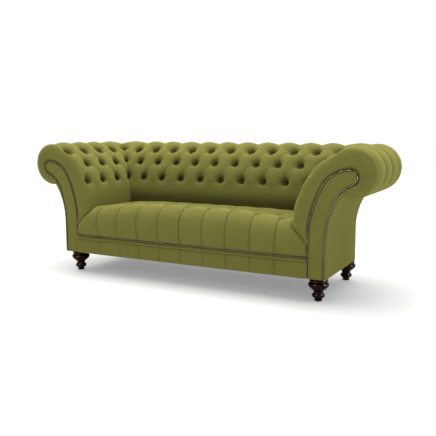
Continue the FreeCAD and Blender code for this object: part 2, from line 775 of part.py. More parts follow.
def upright(name, radius, height, spots):
    """An upright cylinder for drilling."""
    drill = doc.addObject("Part::Cylinder", name)
    drill.setExpression("Radius", bound(radius))
    drill.setExpression("Height", bound(height))
    place(drill, spots)
    return drill


def drilled(name, work, tools):
    """A blank with everything in a list of tools taken out of it, one after the other."""
    for number, tool in enumerate(tools):
        cut = doc.addObject("Part::Cut", name + "_cut_%d" % number)
        cut.Base = work
        cut.Tool = tool
        work = cut
    return work


BEND = "corner_radius + roll_out"
TOP_LEVEL = "roll_level - top_rail / 2"
BOLT_HOLE = "bolt_radius + bolt_gap"
corner_rails = []
rear_blocks = []
for hand, sign, angle in (("right", "", 0), ("left", "-", 90)):
    outer = quarter(hand + "_bend_outer", BEND + " + top_rail / 2", "top_rail", TOP_LEVEL, angle, sign)
    inner = quarter(hand + "_bend_inner", BEND + " - top_rail / 2", "top_rail", TOP_LEVEL, angle, sign)
    corner_rails.append(drilled(hand + "_bend", outer, [inner]))
    rear = quarter(hand + "_rear_blank", "corner_radius - panel_thick", "rail_tall", FRAME, angle, sign)
    spots = (sign + "foot_out", FRONT + " + foot_back")
    hole = upright(hand + "_rear_hole", BOLT_HOLE, "rail_tall", spots + (FRAME,))
    well = upright(hand + "_rear_well", "nut_radius + bolt_gap", "rail_tall",
                   spots + (FRAME + " + foot_block_tall",))
    rear_blocks.append(drilled(hand + "_rear_block", rear, [hole, well]))
together("top_rail_corners", corner_rails)
together("rear_corner_blocks", rear_blocks)
front_blocks = []
pair = blanks("front_blank", ("foot_block", "foot_block", "foot_block_tall"),
              ("half_width - panel_thick - rail_thick - foot_block", FRONT + " + " + BOARDS, FRAME))
for hand, sign, work in zip(("right", "left"), ("", "-"), pair):
    hole = upright(hand + "_front_hole", BOLT_HOLE, "rail_tall",
                   (sign + "foot_out", FRONT + " + foot_front", FRAME))
    front_blocks.append(drilled(hand + "_front_block", work, [hole]))
together("front_foot_blocks", front_blocks)
doc.recompute()


# Ribs: boards inside the arms and the back, from the base's rails to the top rail

rail_top = frame_level + size("rail_tall")
hollow_depth = size("foam_depth") + 3 * gap + size("hessian_thick") + size("strap_thick")


def rib_face():
    """The wall's hollow, between the straps and the outside cover."""
    middle, base, radius = belly_arc(hollow_depth)
    high = roll_level - size("top_rail") / 2
    skin = size("panel_thick") + gap
    back_off = math.tan(end_angle - math.pi * 1.5) * -1
    inner_top = (middle - math.sqrt(radius ** 2 - (high - base) ** 2), high)
    half = (base + high) / 2
    inner_half = (middle - math.sqrt(radius ** 2 - (half - base) ** 2), half)
    inner_low = (hollow_depth - wall_thick, base)
    outer_top = (roll_out - (roll_level - high) * back_off - skin, high)
    chin_out = flare(skin, roll_end[1] - skin)
    lines = [line((inner_low[0], rail_top), inner_low), arc(inner_low, inner_half, inner_top)]
    lines += [line(inner_top, outer_top), line(outer_top, chin_out)]
    lines.append(line((-skin, rail_top), (inner_low[0], rail_top)))
    return Part.Face(Part.Wire(Part.__sortEdges__(lines + flare_edges(skin, rail_top, chin_out[1]))))


rib = rib_face()
at_corner = Vector(0, corner_y - front_y, 0)
arm_rib_y = corner_y - size("rib_setback") - size("rib_thick")
rear_rib = moved(rib, Vector(0, arm_rib_y - front_y, 0))
both_sides("arm_rear_board", rear_rib.extrude(Vector(0, size("rib_thick"), 0)))
back_rib = turned(moved(rib, at_corner), 90).extrude(Vector(size("rib_thick"), 0, 0))
end_rib = moved(back_rib, Vector(size("rib_end") - corner_x, 0, 0))
middle_rib = moved(back_rib, Vector(size("rib_out") - corner_x, 0, 0))
middle_rib = middle_rib.cut([back_stuffing_rail.Shape, back_tack_rail.Shape])
solid("back_end_boards", Part.Compound([end_rib, mirrored(end_rib)]))
solid("back_middle_boards", Part.Compound([middle_rib, mirrored(middle_rib)]))


# Jute webbing behind the hessian: three straps in the back and two in each arm

strap_face = strip_face(strap_depth, size("strap_thick"))
strap_wide = size("strap_wide")
straps = []
for k in (-4, 0, 4):
    strap = turned(moved(strap_face, at_corner), 90).extrude(Vector(strap_wide, 0, 0))
    straps.append(moved(strap, Vector(k * pitch - strap_wide / 2 - corner_x, 0, 0)))
for k in (0.5, 2.5):
    y = arm_first + k * size("arm_pitch") - strap_wide / 2
    strap = moved(strap_face, Vector(0, y, 0)).extrude(Vector(0, strap_wide, 0))
    straps += [strap, mirrored(strap)]
solid("webbing", Part.Compound(straps))


# The seat's cover: its side and front profiles, each carried through, and what both share

seat_bottom = size("seat_bottom")
seat_rise = size("seat_crown") - seat_bottom
seat_half = half_width - size("facing_edge") - size("nail_radius") - gap
back_inner = base_depth - wall_thick
slope_run = seat_half - (half_width - wall_thick)
slope_drop = size("tuck_drop") * slope_run / size("foam_depth")
NOSE_SHARES = [(-0.345, 0), (-1, 0.458), (-0.31, 0.743)]
BROW_OVER_SHARES = [(-0.31, 0.743), (0.62, 0.869), (2.276, 0.99)]
CROWN_SHARES = [(2.276, 0.99), (7.5, 0.974)]
BACK_END_SHARE = 0.832
SIDE_END_SHARE = 0.81


def seat_point(share):
    """A point of the seat's side profile, by shares of its nose and its rise."""
    return Vector(0, front_y + share[0] * size("seat_nose"), seat_bottom + share[1] * seat_rise)


def side_profile():
    """The seat from the side: nose, brow, crown, and the slope under the back's padding."""
    rear = front_y + back_inner - gap
    end = Vector(0, rear, seat_bottom + BACK_END_SHARE * seat_rise)
    corners = [end, Vector(0, rear, belly_level - gap)]
    corners.append(Vector(0, rear + slope_run, belly_level - gap - slope_drop))
    corners.append(Vector(0, rear + slope_run, seat_bottom))
    corners.append(seat_point(NOSE_SHARES[0]))
    edges = [Part.Arc(*[seat_point(share) for share in shares]).toShape()
             for shares in (NOSE_SHARES, BROW_OVER_SHARES)]
    edges.append(Part.Arc(seat_point(CROWN_SHARES[0]), seat_point(CROWN_SHARES[1]), end).toShape())
    edges += [Part.LineSegment(a, b).toShape() for a, b in zip(corners, corners[1:])]
    return Part.Face(Part.Wire(Part.__sortEdges__(edges)))


def front_profile():
    """The seat from the front: crowned, with a slope under each arm's padding."""
    inner = half_width - wall_thick - gap
    side_top = seat_bottom + SIDE_END_SHARE * seat_rise
    right = [(inner, side_top), (inner, belly_level - gap), (seat_half, belly_level - gap - slope_drop)]
    right.append((seat_half, seat_bottom))
    around = [Vector(x, 0, z) for x, z in right] + [Vector(-x, 0, z) for x, z in reversed(right)]
    edges = [Part.LineSegment(a, b).toShape() for a, b in zip(around, around[1:])]
    edges.append(Part.Arc(around[-1], Vector(0, 0, size("seat_crown")), around[0]).toShape())
    return Part.Face(Part.Wire(Part.__sortEdges__(edges)))


side_face = side_profile()
seat_side = moved(side_face, Vector(-seat_half, 0, 0)).extrude(Vector(2 * seat_half, 0, 0))
seat_front = moved(front_profile(), Vector(0, front_y - overrun, 0))
seat_front = seat_front.extrude(Vector(0, base_depth + 2 * overrun, 0))
seat_cover = seat_side.common(seat_front)


class SeatPit:
    """A place on top of the seat, pulled straight down."""

    def __init__(self, x, along):
        y = front_y + along
        upright_line = Part.makeLine(Vector(x, y, 0), Vector(x, y, 3 * overrun))
        self.at = Vector(x, y, upright_line.common(seat_cover).BoundBox.ZMax)
        self.inwards = Vector(0, 0, -1)


seat_side_count = int(size("seat_side_buttons"))
first = size("seat_row_front")
step = size("seat_row_pitch")
wide = range(-seat_side_count, seat_side_count + 1)
narrow = range(-seat_side_count, seat_side_count)
seat_front_row = [SeatPit(k * pitch, first) for k in wide]
seat_middle_row = [SeatPit((k + 0.5) * pitch, first + step) for k in narrow]
seat_rear_row = [SeatPit(k * pitch, first + 2 * step) for k in wide]
seat_back_places = [SeatPit((k + 0.5) * pitch, first + 3 * step - strap_wide / 2) for k in narrow]
seat_pits = seat_front_row + seat_middle_row + seat_rear_row
seam_wide = size("seam_width")
under_seam = side_face.makeOffset2D(-size("seam_depth"))
seat_tools = []
for k in wide:
    low = Vector(k * pitch - seam_wide / 2, front_y - overrun, seat_bottom - overrun)
    high = Vector(k * pitch + seam_wide / 2, front_y + first, belly_level + overrun)
    kept = moved(under_seam, Vector(low.x - seam_wide, 0, 0)).extrude(Vector(3 * seam_wide, 0, 0))
    seat_tools.append(box(low, high).cut(kept))
seat_pairs = []
for k in narrow:
    index = k + seat_side_count
    for row in (seat_front_row, seat_rear_row):
        seat_pairs += [(row[index], seat_middle_row[index]), (row[index + 1], seat_middle_row[index])]
    seat_pairs.append((seat_rear_row[index], seat_back_places[index]))
    seat_pairs.append((seat_rear_row[index + 1], seat_back_places[index]))

seat_deep = size("seat_pit_depth")
seat_tools += [pit_cut(pit.at, pit.inwards, seat_deep, size("seat_pit_mouth")) for pit in seat_pits]
for start, end in seat_pairs:
    seat_tools.append(pleat_cut(start.at, end.at, start.inwards, end.inwards, size("pleat_depth") / 2))
foam_room = seat_foam.Shape.BoundBox
seat_tools.append(box(Vector(foam_room.XMin - gap, foam_room.YMin - gap, 0),
                      Vector(foam_room.XMax + gap, foam_room.YMax + gap, foam_room.ZMax + gap)))
seat_cover = reopened(carved(seat_cover, seat_tools), seat_pits, seat_deep, size("seat_pit_mouth"))
solid("seat_cover", seat_cover)


# The border with its seams and its piping

def origin_plane(body, role):
    return next(feature for feature in body.Origin.OriginFeatures if feature.Role == role)


def sketch_in(body, name, role):
    drawing = body.newObject("Sketcher::SketchObject", name)
    drawing.AttachmentSupport = (origin_plane(body, role), [""])
    drawing.MapMode = "FlatFace"
    return drawing


def rectangle(drawing, wide_text, tall_text, wide_now, tall_now):
    """A rectangle standing on the sketch's horizontal axis, centred, with both sides bound."""
    half = wide_now / 2
    corners = [Vector(-half, 0, 0), Vector(half, 0, 0), Vector(half, tall_now, 0), Vector(-half, tall_now, 0)]
    for a, b in zip(corners, corners[1:] + corners[:1]):
        drawing.addGeometry(Part.LineSegment(a, b), False)
    Constraint = Sketcher.Constraint
    for k in range(4):
        drawing.addConstraint(Constraint("Coincident", k, 2, (k + 1) % 4, 1))
    drawing.addConstraint(Constraint("Symmetric", 0, 1, 0, 2, -1, 1))
    drawing.addConstraint(Constraint("Horizontal", 2))
    drawing.addConstraint(Constraint("Vertical", 1))
    drawing.addConstraint(Constraint("Vertical", 3))
    across = drawing.addConstraint(Constraint("DistanceX", 0, 1, 0, 2, wide_now))
    up = drawing.addConstraint(Constraint("DistanceY", 1, 1, 1, 2, tall_now))
    drawing.setExpression("Constraints[%d]" % across, bound(wide_text))
    drawing.setExpression("Constraints[%d]" % up, bound(tall_text))


border_tall = size("border_top") - base_level
border = doc.addObject("PartDesign::Body", "border_panel")
panel_sketch = sketch_in(border, "border_outline", "XZ_Plane")
rectangle(panel_sketch, "2 * " + SEAT_HALF, "border_top - foot_height", 2 * seat_half, border_tall)
panel = border.newObject("PartDesign::Pad", "border_pad")
panel.Profile = panel_sketch
panel.setExpression("Length", bound("border_thick"))
seam_sketch = sketch_in(border, "border_seam_outline", "XZ_Plane")
seam_sketch.AttachmentOffset = Placement(Vector(0, 0, size("border_thick")), Rotation())
rectangle(seam_sketch, "seam_width", "border_top - foot_height", seam_wide, border_tall)
seam = border.newObject("PartDesign::Pocket", "border_seam")
seam.Profile = seam_sketch
seam.setExpression("Length", bound("border_seam"))
doc.recompute()
seam_rows = []
for hand, reverse in (("right", False), ("left", True)):
    pattern = border.newObject("PartDesign::LinearPattern", "border_seams_" + hand)
    pattern.Originals = [seam]
    pattern.Direction = (seam_sketch, ["H_Axis"])
    pattern.Reversed = reverse
    pattern.setExpression("Length", bound("seat_side_buttons * pitch"))
    pattern.setExpression("Occurrences", bound("seat_side_buttons + 1"))
    border.Tip = pattern
    doc.recompute()
    seam_rows.append(pattern.Shape.Volume)
print("border volume with one side's seams and with both:", seam_rows)
place(border, ("0", FRONT + " + " + TRIM, "foot_height"))
channel = doc.addObject("Part::Cylinder", "welt_channel")
channel.Placement = Placement(Vector(), Rotation(Y_AXIS, 90))
channel.setExpression("Radius", bound("welt_radius + cloth_gap"))
channel.setExpression("Height", bound("2 * half_width"))
place(channel, ("-half_width", FRONT + " - border_proud - welt_radius + welt_sink", "welt_level"))
keep(drilled("grooved_border", border, [channel]), "front_border")
welt = doc.addObject("Part::Cylinder", "border_welt")
welt.Placement = Placement(Vector(), Rotation(Y_AXIS, 90))
welt.setExpression("Radius", bound("welt_radius"))
welt.setExpression("Height", bound("2 * " + SEAT_HALF))
place(welt, ("-" + SEAT_HALF, FRONT + " - border_proud - welt_radius + welt_sink", "welt_level"))
keep(welt, "border_welt")


# The cloth under the base, with a hole at each foot's bolt

foot_spots = []
for along in ("foot_front", "foot_back"):
    for hand in (1, -1):
        foot_spots.append(Vector(hand * size("foot_out"), front_y + size(along), 0))
skin = size("panel_thick") + gap
dust = doc.addObject("PartDesign::Body", "dust_body")
dust_sketch = sketch_in(dust, "dust_outline", "XY_Plane")
near = front_y + size("facing_thick") + gap
far = back_y - skin
side_x = half_width - skin
bend = corner_radius - skin
dust_sketch.addGeometry(Part.LineSegment(Vector(-side_x, near, 0), Vector(side_x, near, 0)), False)
dust_sketch.addGeometry(Part.LineSegment(Vector(side_x, near, 0), Vector(side_x, corner_y, 0)), False)
dust_sketch.addGeometry(Part.LineSegment(Vector(corner_x, far, 0), Vector(-corner_x, far, 0)), False)
dust_sketch.addGeometry(Part.LineSegment(Vector(-side_x, corner_y, 0), Vector(-side_x, near, 0)), False)
for hand, start in ((1, 0), (-1, 90)):
    ring = Part.Circle(Vector(hand * corner_x, corner_y, 0), Z_AXIS, bend)
    dust_sketch.addGeometry(Part.ArcOfCircle(ring, math.radians(start), math.radians(start + 90)), False)
for spot in foot_spots:
    dust_sketch.addGeometry(Part.Circle(spot, Z_AXIS, size("bolt_radius") + size("bolt_gap")), False)
dust_pad = dust.newObject("PartDesign::Pad", "dust_pad")
dust_pad.Profile = dust_sketch
dust_pad.setExpression("Length", bound("dust_thick"))
place(dust, ("0", "0", "foot_height"))
keep(dust, "dust_cover")


# Turned feet, with a blind hole for the bolt

PROFILE_SHARES = {"pad": 0.106, "ring_low": 0.15, "ring": 0.235, "ring_high": 0.33, "waist": 0.37,
                  "cove": 0.46, "step": 0.52, "bulb": 0.67, "bulb_high": 0.785, "collar": 0.86, "top": 1}
NECK_TO_RING_SHARE = 0.2
STEP_TO_BULB_SHARE = 0.45


def between(low, high, share):
    return low + (high - low) * share


def foot_profile():
    """Half of the foot's outline, from the floor's middle up to its top and down into the bolt's hole."""
    pad = size("foot_pad")
    ring = size("foot_ring")
    waist = size("foot_waist")
    bulb = size("foot_bulb")
    collar = size("foot_collar")
    neck = size("foot_neck")
    hole = size("bolt_radius") + size("bolt_gap")
    at = {name: base_level * share for name, share in PROFILE_SHARES.items()}
    low_ring = Vector(between(pad, ring, NECK_TO_RING_SHARE), at["ring_low"], 0)
    high_ring = Vector(between(waist, ring, NECK_TO_RING_SHARE), at["ring_high"], 0)
    step = Vector(between(waist, bulb, STEP_TO_BULB_SHARE), at["step"], 0)
    shelf = Vector(between(collar, bulb, STEP_TO_BULB_SHARE), at["bulb_high"], 0)
    groove = Vector(neck, at["bulb_high"], 0)
    top = Vector(neck, at["top"], 0)
    down = [top, Vector(hole, at["top"], 0), Vector(hole, at["top"] - size("bolt_grip"), 0),
            Vector(0, at["top"] - size("bolt_grip"), 0), Vector(0, 0, 0), Vector(pad, 0, 0),
            Vector(pad, at["pad"], 0), low_ring]
    curves = [Part.LineSegment(a, b) for a, b in zip(down, down[1:])]
    curves.append(Part.Arc(low_ring, Vector(ring, at["ring"], 0), high_ring))
    curves.append(Part.LineSegment(high_ring, Vector(waist, at["ring_high"], 0)))
    bottom = Vector(between(waist, step.x, NECK_TO_RING_SHARE), at["cove"], 0)
    curves.append(Part.Arc(Vector(waist, at["ring_high"], 0), bottom, step))
    curves.append(Part.Arc(step, Vector(bulb, at["bulb"], 0), shelf))
    curves.append(Part.LineSegment(shelf, groove))
    curves.append(Part.Arc(groove, Vector(collar, at["collar"], 0), top))
    return curves


def foot(label, spot):
    body = doc.addObject("PartDesign::Body", label + "_body")
    drawing = sketch_in(body, label + "_profile", "XZ_Plane")
    for curve in foot_profile():
        drawing.addGeometry(curve, False)
    spin = body.newObject("PartDesign::Revolution", label + "_spin")
    spin.Profile = drawing
    spin.ReferenceAxis = (drawing, ["V_Axis"])
    spin.Angle = 360
    place(body, spot)
    return keep(body, label)


for name, along in (("front", "foot_front"), ("rear", "foot_back")):
    foot(name + "_right_foot", ("foot_out", FRONT + " + " + along, "0"))
    foot(name + "_left_foot", ("-foot_out", FRONT + " + " + along, "0"))

bolt_low = base_level - size("bolt_grip")
seat_of_nut = frame_level + size("foot_block_tall")
bolt_high = seat_of_nut + size("bolt_end")
bolts = [Part.makeCylinder(size("bolt_radius"), bolt_high - bolt_low, spot + Z_AXIS * bolt_low)
         for spot in foot_spots]
solid("foot_bolts", Part.Compound(bolts))


def flange_nut(spot):
    """A six-sided nut on a round flange."""
    flange = Part.makeCylinder(size("nut_radius"), size("nut_tall") / 4, spot)
    angles = [k * math.pi / 3 for k in range(7)]
    across = size("nut_radius") * 2 / 3
    ring = [spot + Vector(math.cos(angle), math.sin(angle), 0) * across for angle in angles]
    nut = Part.Face(Part.makePolygon(ring)).extrude(Vector(0, 0, size("nut_tall")))
    bore = Part.makeCylinder(size("bolt_radius"), size("nut_tall"), spot)
    return flange.fuse(nut).removeSplitter().cut(bore)


solid("foot_nuts", Part.Compound([flange_nut(spot + Z_AXIS * seat_of_nut) for spot in foot_spots]))


# Zigzag springs from the front rail to the back rail, and the clips that hold their ends

spring_level = rail_top + size("spring_rise")
spring_start = front_y + size("border_thick") - size("border_proud") + size("rail_thick") / 2
spring_end = back_y - size("panel_thick") - size("rail_thick") / 2
turns = int(size("spring_turns"))
spring_bend = (spring_end - spring_start) / (2 * turns)
half_leg = size("spring_leg") / 2


def zigzag():
    """One spring's wire: straight legs joined by half turns, right and left in turn."""
    edges = []
    for k in range(turns + 1):
        y = spring_start + k * 2 * spring_bend
        hand = 1 if k % 2 == 0 else -1
        start = Vector(-hand * half_leg, y, spring_level)
        end = Vector(hand * half_leg, y, spring_level)
        edges.append(Part.LineSegment(start, end).toShape())
        if k < turns:
            over = Vector(hand * (half_leg + spring_bend), y + spring_bend, spring_level)
            edges.append(Part.Arc(end, over, end + Vector(0, 2 * spring_bend, 0)).toShape())
    path = Part.Wire(edges)
    start = Vector(-half_leg, spring_start, spring_level)
    ring = Part.Wire(Part.makeCircle(size("spring_wire"), start, X_AXIS))
    return path.makePipeShell([ring], True, False), path.Length


spring, spring_length = zigzag()
print("spring volume", spring.Volume)
print("section times length", math.pi * size("spring_wire") ** 2 * spring_length)
solid("seat_springs", Part.Compound([moved(spring, Vector(k * pitch, 0, 0)) for k in wide]))
clips = []
for k in wide:
    for y in (spring_start, spring_end):
        low = Vector(k * pitch - size("clip_wide") / 2, y - size("clip_deep") / 2, rail_top)
        high = low + Vector(size("clip_wide"), size("clip_deep"), size("clip_tall"))
        bore = Part.makeCylinder(size("spring_wire") + size("bolt_gap"), size("clip_wide"),
                                 Vector(low.x, y, spring_level), X_AXIS)
        clips.append(box(low, high).cut(bore))
solid("spring_clips", Part.Compound(clips))


# Buttons and nails, as groups of like pieces

def button_group(label, pits, depth, twins=()):
    buttons = [button(pit.at, pit.inwards, depth) for pit in pits]
    buttons += [mirrored(button(pit.at, pit.inwards, depth)) for pit in twins]
    return solid(label, Part.Compound(buttons))


arm_buttons = Part.Compound([button(pit.at, pit.inwards, size("pit_depth")) for pit in arm_pits])
both_sides("arm_buttons", arm_buttons)
button_group("back_buttons", back_pits + corner_pits, size("pit_depth"), corner_pits)
button_group("seat_buttons", seat_pits, size("seat_pit_depth"))


def nail(spot):
    """A domed nail head on a face that looks to the front."""
    radius = size("nail_radius")
    rise = size("nail_rise")
    ball = (radius ** 2 + rise ** 2) / (2 * rise)
    lean = math.asin(radius / ball) / 2
    slant = Vector(ball * math.sin(lean), ball - rise - ball * math.cos(lean), 0)
    rim = Part.Arc(Vector(radius, 0, 0), slant, Vector(0, -rise, 0)).toShape()
    outline = [rim, Part.LineSegment(Vector(0, -rise, 0), Vector()).toShape()]
    outline.append(Part.LineSegment(Vector(), Vector(radius, 0, 0)).toShape())
    head = Part.Face(Part.Wire(outline)).revolve(Vector(), Y_AXIS, 360)
    return moved(head, spot)


nail_path = Part.Wire(facing_edges())
nail_count = round((nail_path.Length - 2 * size("nail_radius")) / size("nail_pitch"))
first_nail = size("nail_radius")
nail_run = nail_path.discretize(Number=nail_count + 1)
nails = [nail(spot) for spot in nail_run if spot.z > base_level + first_nail]
both_sides("facing_nails", Part.Compound(nails))
border_run = 2 * (seat_half - first_nail - gap)
border_count = round(border_run / size("nail_pitch"))
line_y = front_y - size("border_proud")
border_step = border_run / border_count
nails = [nail(Vector(-border_run / 2 + k * border_step, line_y, size("nail_line")))
         for k in range(border_count + 1)]
solid("border_nails", Part.Compound(nails))


# Check everything, then write one file for each sub-part

doc.recompute()
for thing in doc.Objects:
    if "Invalid" in thing.State or "Error" in thing.State:
        raise RuntimeError("%s is %s" % (thing.Label, thing.State))
for thing in parts:
    if thing.Shape.isNull() or not thing.Shape.isValid() or not thing.Shape.Solids:
        raise RuntimeError("%s has no valid solid" % thing.Label)
for thing in parts:
    thing.Shape.exportStep("parts/%s.step" % thing.Label)
print(len(parts), "sub-parts written")
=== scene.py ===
# %% [markdown]
# # A deep-buttoned roll-arm sofa
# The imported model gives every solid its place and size. Here each piece of cloth gets its real
# shape: the padding swells between its buttons, the seat has sewn channels down its front, and the
# timber, nails and turned feet get their finishes. All lengths are metres. X runs along the sofa,
# Y from its front to its back and Z up from the floor.

# %% Load the frame
import json
import math
from functools import partial

import bmesh
import bpy
import numpy as np
from mathutils import Matrix, Vector


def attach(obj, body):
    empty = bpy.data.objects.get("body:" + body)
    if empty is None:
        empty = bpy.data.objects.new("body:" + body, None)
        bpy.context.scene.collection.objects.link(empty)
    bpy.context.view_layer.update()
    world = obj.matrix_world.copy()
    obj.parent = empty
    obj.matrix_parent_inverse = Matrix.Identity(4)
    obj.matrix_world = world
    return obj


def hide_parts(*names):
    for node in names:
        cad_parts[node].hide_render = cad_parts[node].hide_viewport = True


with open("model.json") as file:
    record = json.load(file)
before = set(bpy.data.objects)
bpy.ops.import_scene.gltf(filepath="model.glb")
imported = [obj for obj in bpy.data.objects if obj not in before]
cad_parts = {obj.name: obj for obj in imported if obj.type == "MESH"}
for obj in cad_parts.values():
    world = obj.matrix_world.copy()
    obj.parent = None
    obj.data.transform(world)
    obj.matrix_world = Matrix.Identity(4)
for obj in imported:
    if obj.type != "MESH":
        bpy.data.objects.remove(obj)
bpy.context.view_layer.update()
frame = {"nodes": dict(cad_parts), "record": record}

# %% [markdown]
# ## Camera
# The photograph looks slightly down from the right of the sofa's middle, a little under half a
# metre above the seat. The view could be set by eye, but it was worked out from the sofa's own
# lines, which fit a 50 mm lens. `FRONT` is the front of the wooden base.

# %% Camera
FRONT = -0.432
CAMERA_PLACE = (1.8294, -2.9997 + FRONT, 0.9056)
CAMERA_DOWN = 8.089
CAMERA_TURN = 27.796


def in_scene(name, data):
    """An object that holds this data, added to the scene."""
    thing = bpy.data.objects.new(name, data)
    bpy.context.scene.collection.objects.link(thing)
    return thing


camera_data = bpy.data.cameras.new("camera")
camera_data.lens = 50
camera_data.sensor_width = 36
camera = in_scene("camera", camera_data)
camera.location = CAMERA_PLACE
camera.rotation_euler = (math.radians(90 - CAMERA_DOWN), 0, math.radians(CAMERA_TURN))
bpy.context.scene.camera = camera
bpy.context.scene.view_settings.view_transform = "Standard"
print("camera at", [round(v, 3) for v in camera.location])

# %% [markdown]
# ## A short way to write materials
# A material is a graph of nodes, which could be drawn in the node editor. As text it is easier to
# repeat: `Value` wraps one number on the graph, so that maths on a pattern reads like maths.

# %% Numbers on a graph
class Value:
    """A socket with a number on it, which maths can be done with."""

    def __init__(self, graph, socket):
        self.graph = graph
        self.socket = socket

    def calc(self, operation, *values):
        maths = self.graph.node("ShaderNodeMath", {"operation": operation}, dict(enumerate(values)))
        return Value(self.graph, maths.outputs[0])

    def __add__(self, other):
        return self.calc("ADD", self, other)

    def __sub__(self, other):
        return self.calc("SUBTRACT", self, other)

    def __mul__(self, other):
        return self.calc("MULTIPLY", self, other)

    def __pow__(self, other):
        return self.calc("POWER", self, other)

    __radd__ = __add__


# %% [markdown]
# `Graph` holds the nodes of one material, or of the world. Its `node` adds a node of any kind,
# its settings first and then its inputs. The rest are short names for nodes that come back often.

# %% Graphs of nodes
class Graph:
    """The nodes of a material or of the world."""

    def __init__(self, name, kept_in=bpy.data.materials):
        self.owner = kept_in.new(name)
        self.owner.use_nodes = True
        self.tree = self.owner.node_tree
        self.tree.nodes.clear()

    def node(self, kind, settings=None, inputs=None):
        made = self.tree.nodes.new(kind)
        for key, setting in (settings or {}).items():
            setattr(made, key, setting)
        for key, given in (inputs or {}).items():
            source = given.socket if isinstance(given, Value) else given
            if isinstance(source, bpy.types.NodeSocket):
                self.tree.links.new(source, made.inputs[key])
            else:
                made.inputs[key].default_value = source
        return made

    def noise(self, scale, detail, roughness, vector=None):
        """A cloudy pattern on Object coordinates, or on the vector that is given."""
        vector = vector or self.node("ShaderNodeTexCoord").outputs["Object"]
        made = self.node("ShaderNodeTexNoise", {}, {
            "Vector": vector, "Scale": scale, "Detail": detail, "Roughness": roughness})
        return Value(self, made.outputs["Fac"])

    def between(self, low, high, mask):
        """A colour between two colours."""
        mix = self.node("ShaderNodeMix", {"data_type": "RGBA"}, {0: mask, 6: low, 7: high})
        return mix.outputs[2]

    def bump(self, height, distance, strength):
        made = self.node("ShaderNodeBump", {}, {
            "Height": height, "Distance": distance, "Strength": strength})
        return made.outputs["Normal"]

    def finish(self, shader, output="ShaderNodeOutputMaterial"):
        self.node(output, {}, {"Surface": shader})
        return self.owner

    def principled(self, inputs):
        """The usual shader, as the whole material."""
        return self.finish(self.node("ShaderNodeBsdfPrincipled", {}, inputs).outputs[0])


# %% [markdown]
# ## Floor and world
# The sofa stands on white, with a pale shadow under it. Enough light would turn the floor white,
# but it would bleach the velvet too. So only what the camera sees is white: the floor glows a
# little and the world is brighter there, and both light the sofa at a plain level.

# %% Floor and world
WHITE = (1, 1, 1, 1)
FLOOR_HALF = 14
FLOOR_COLOUR = (0.66, 0.66, 0.66, 1)
FLOOR_LIFT = 0.26
WORLD_LIGHT = 0.53


def finished_mesh(name, shape):
    """A mesh made from a bmesh, shaded smooth."""
    mesh = bpy.data.meshes.new(name)
    shape.to_mesh(mesh)
    shape.free()
    mesh.polygons.foreach_set("use_smooth", [True] * len(mesh.polygons))
    return mesh


floor_shape = bmesh.new()
bmesh.ops.create_grid(floor_shape, x_segments=1, y_segments=1, size=FLOOR_HALF)
floor = in_scene("floor", finished_mesh("floor", floor_shape))
ground = Graph("white_floor")
seen = Value(ground, ground.node("ShaderNodeLightPath").outputs["Is Camera Ray"])
paint = ground.node("ShaderNodeBsdfDiffuse", {}, {"Color": FLOOR_COLOUR})
glow = ground.node("ShaderNodeEmission", {}, {"Color": WHITE, "Strength": seen * FLOOR_LIFT})
both = ground.node("ShaderNodeAddShader", {}, {0: paint.outputs[0], 1: glow.outputs[0]})
floor.data.materials.append(ground.finish(both.outputs[0]))

studio = Graph("studio", bpy.data.worlds)
rays = studio.node("ShaderNodeLightPath")
level = studio.node("ShaderNodeMix", {}, {0: rays.outputs["Is Camera Ray"], 2: WORLD_LIGHT, 3: 1.0})
sky = studio.node("ShaderNodeBackground", {}, {"Color": WHITE, "Strength": level.outputs[0]})
bpy.context.scene.world = studio.finish(sky.outputs[0], "ShaderNodeOutputWorld")
print("floor", 2 * FLOOR_HALF, "m wide, world light", WORLD_LIGHT)

# %% [markdown]
# ## Lamps
# The photograph's light is soft and comes from above and behind, so the tops of the rolls and the
# seat are palest. Area lamps alone would fade along a sofa this long, so two very wide suns give
# most of it. One soft lamp adds to the tops, two small ones in front bring out the buttoning, and
# two glints show only as reflections, on the nails and the glossy feet.

# %% Lamps
SUN_WIDTH = math.radians(75)


def aimed(name, data, direction):
    """A lamp that shines in a direction."""
    lamp = in_scene(name, data)
    lamp.rotation_euler = direction.to_track_quat("-Z", "Y").to_euler()
    return lamp


def soft_lamp(name, place, target, size, watts):
    """A square soft lamp that looks at a point."""
    data = bpy.data.lights.new(name, "AREA")
    data.shape = "SQUARE"
    data.size = size
    data.energy = watts
    lamp = aimed(name, data, Vector(target) - Vector(place))
    lamp.location = place
    return lamp


def soft_sun(name, come_from, strength):
    """A wide sun: light from one side of the sky, the same all over."""
    data = bpy.data.lights.new(name, "SUN")
    data.energy = strength
    data.angle = SUN_WIDTH
    aimed(name, data, -Vector(come_from))


soft_sun("overhead", (0.1, 0.05, 1.0), strength=0.8)
soft_sun("from_behind", (-0.30, 0.42, 1.0), strength=2.3)
soft_lamp("over_the_back", (-0.5, 0.7, 3.6), (0, 0.1, 0.4), size=2.5, watts=52)
soft_lamp("right_front", (3.4, -3.2, 2.2), (0.3, -0.3, 0.3), size=0.25, watts=11)
soft_lamp("left_front", (-2.4, -3.4, 2.3), (-0.3, -0.3, 0.3), size=0.25, watts=7)
for name, place in (("front_glint", (-1.0, -4.2, 2.6)), ("right_glint", (4.2, 0.2, 2.2))):
    glint = soft_lamp(name, place, (0.2, -0.2, 0.1), size=1.5, watts=300)
    glint.visible_diffuse = False
print("lamps", [lamp.name for lamp in bpy.data.lights])
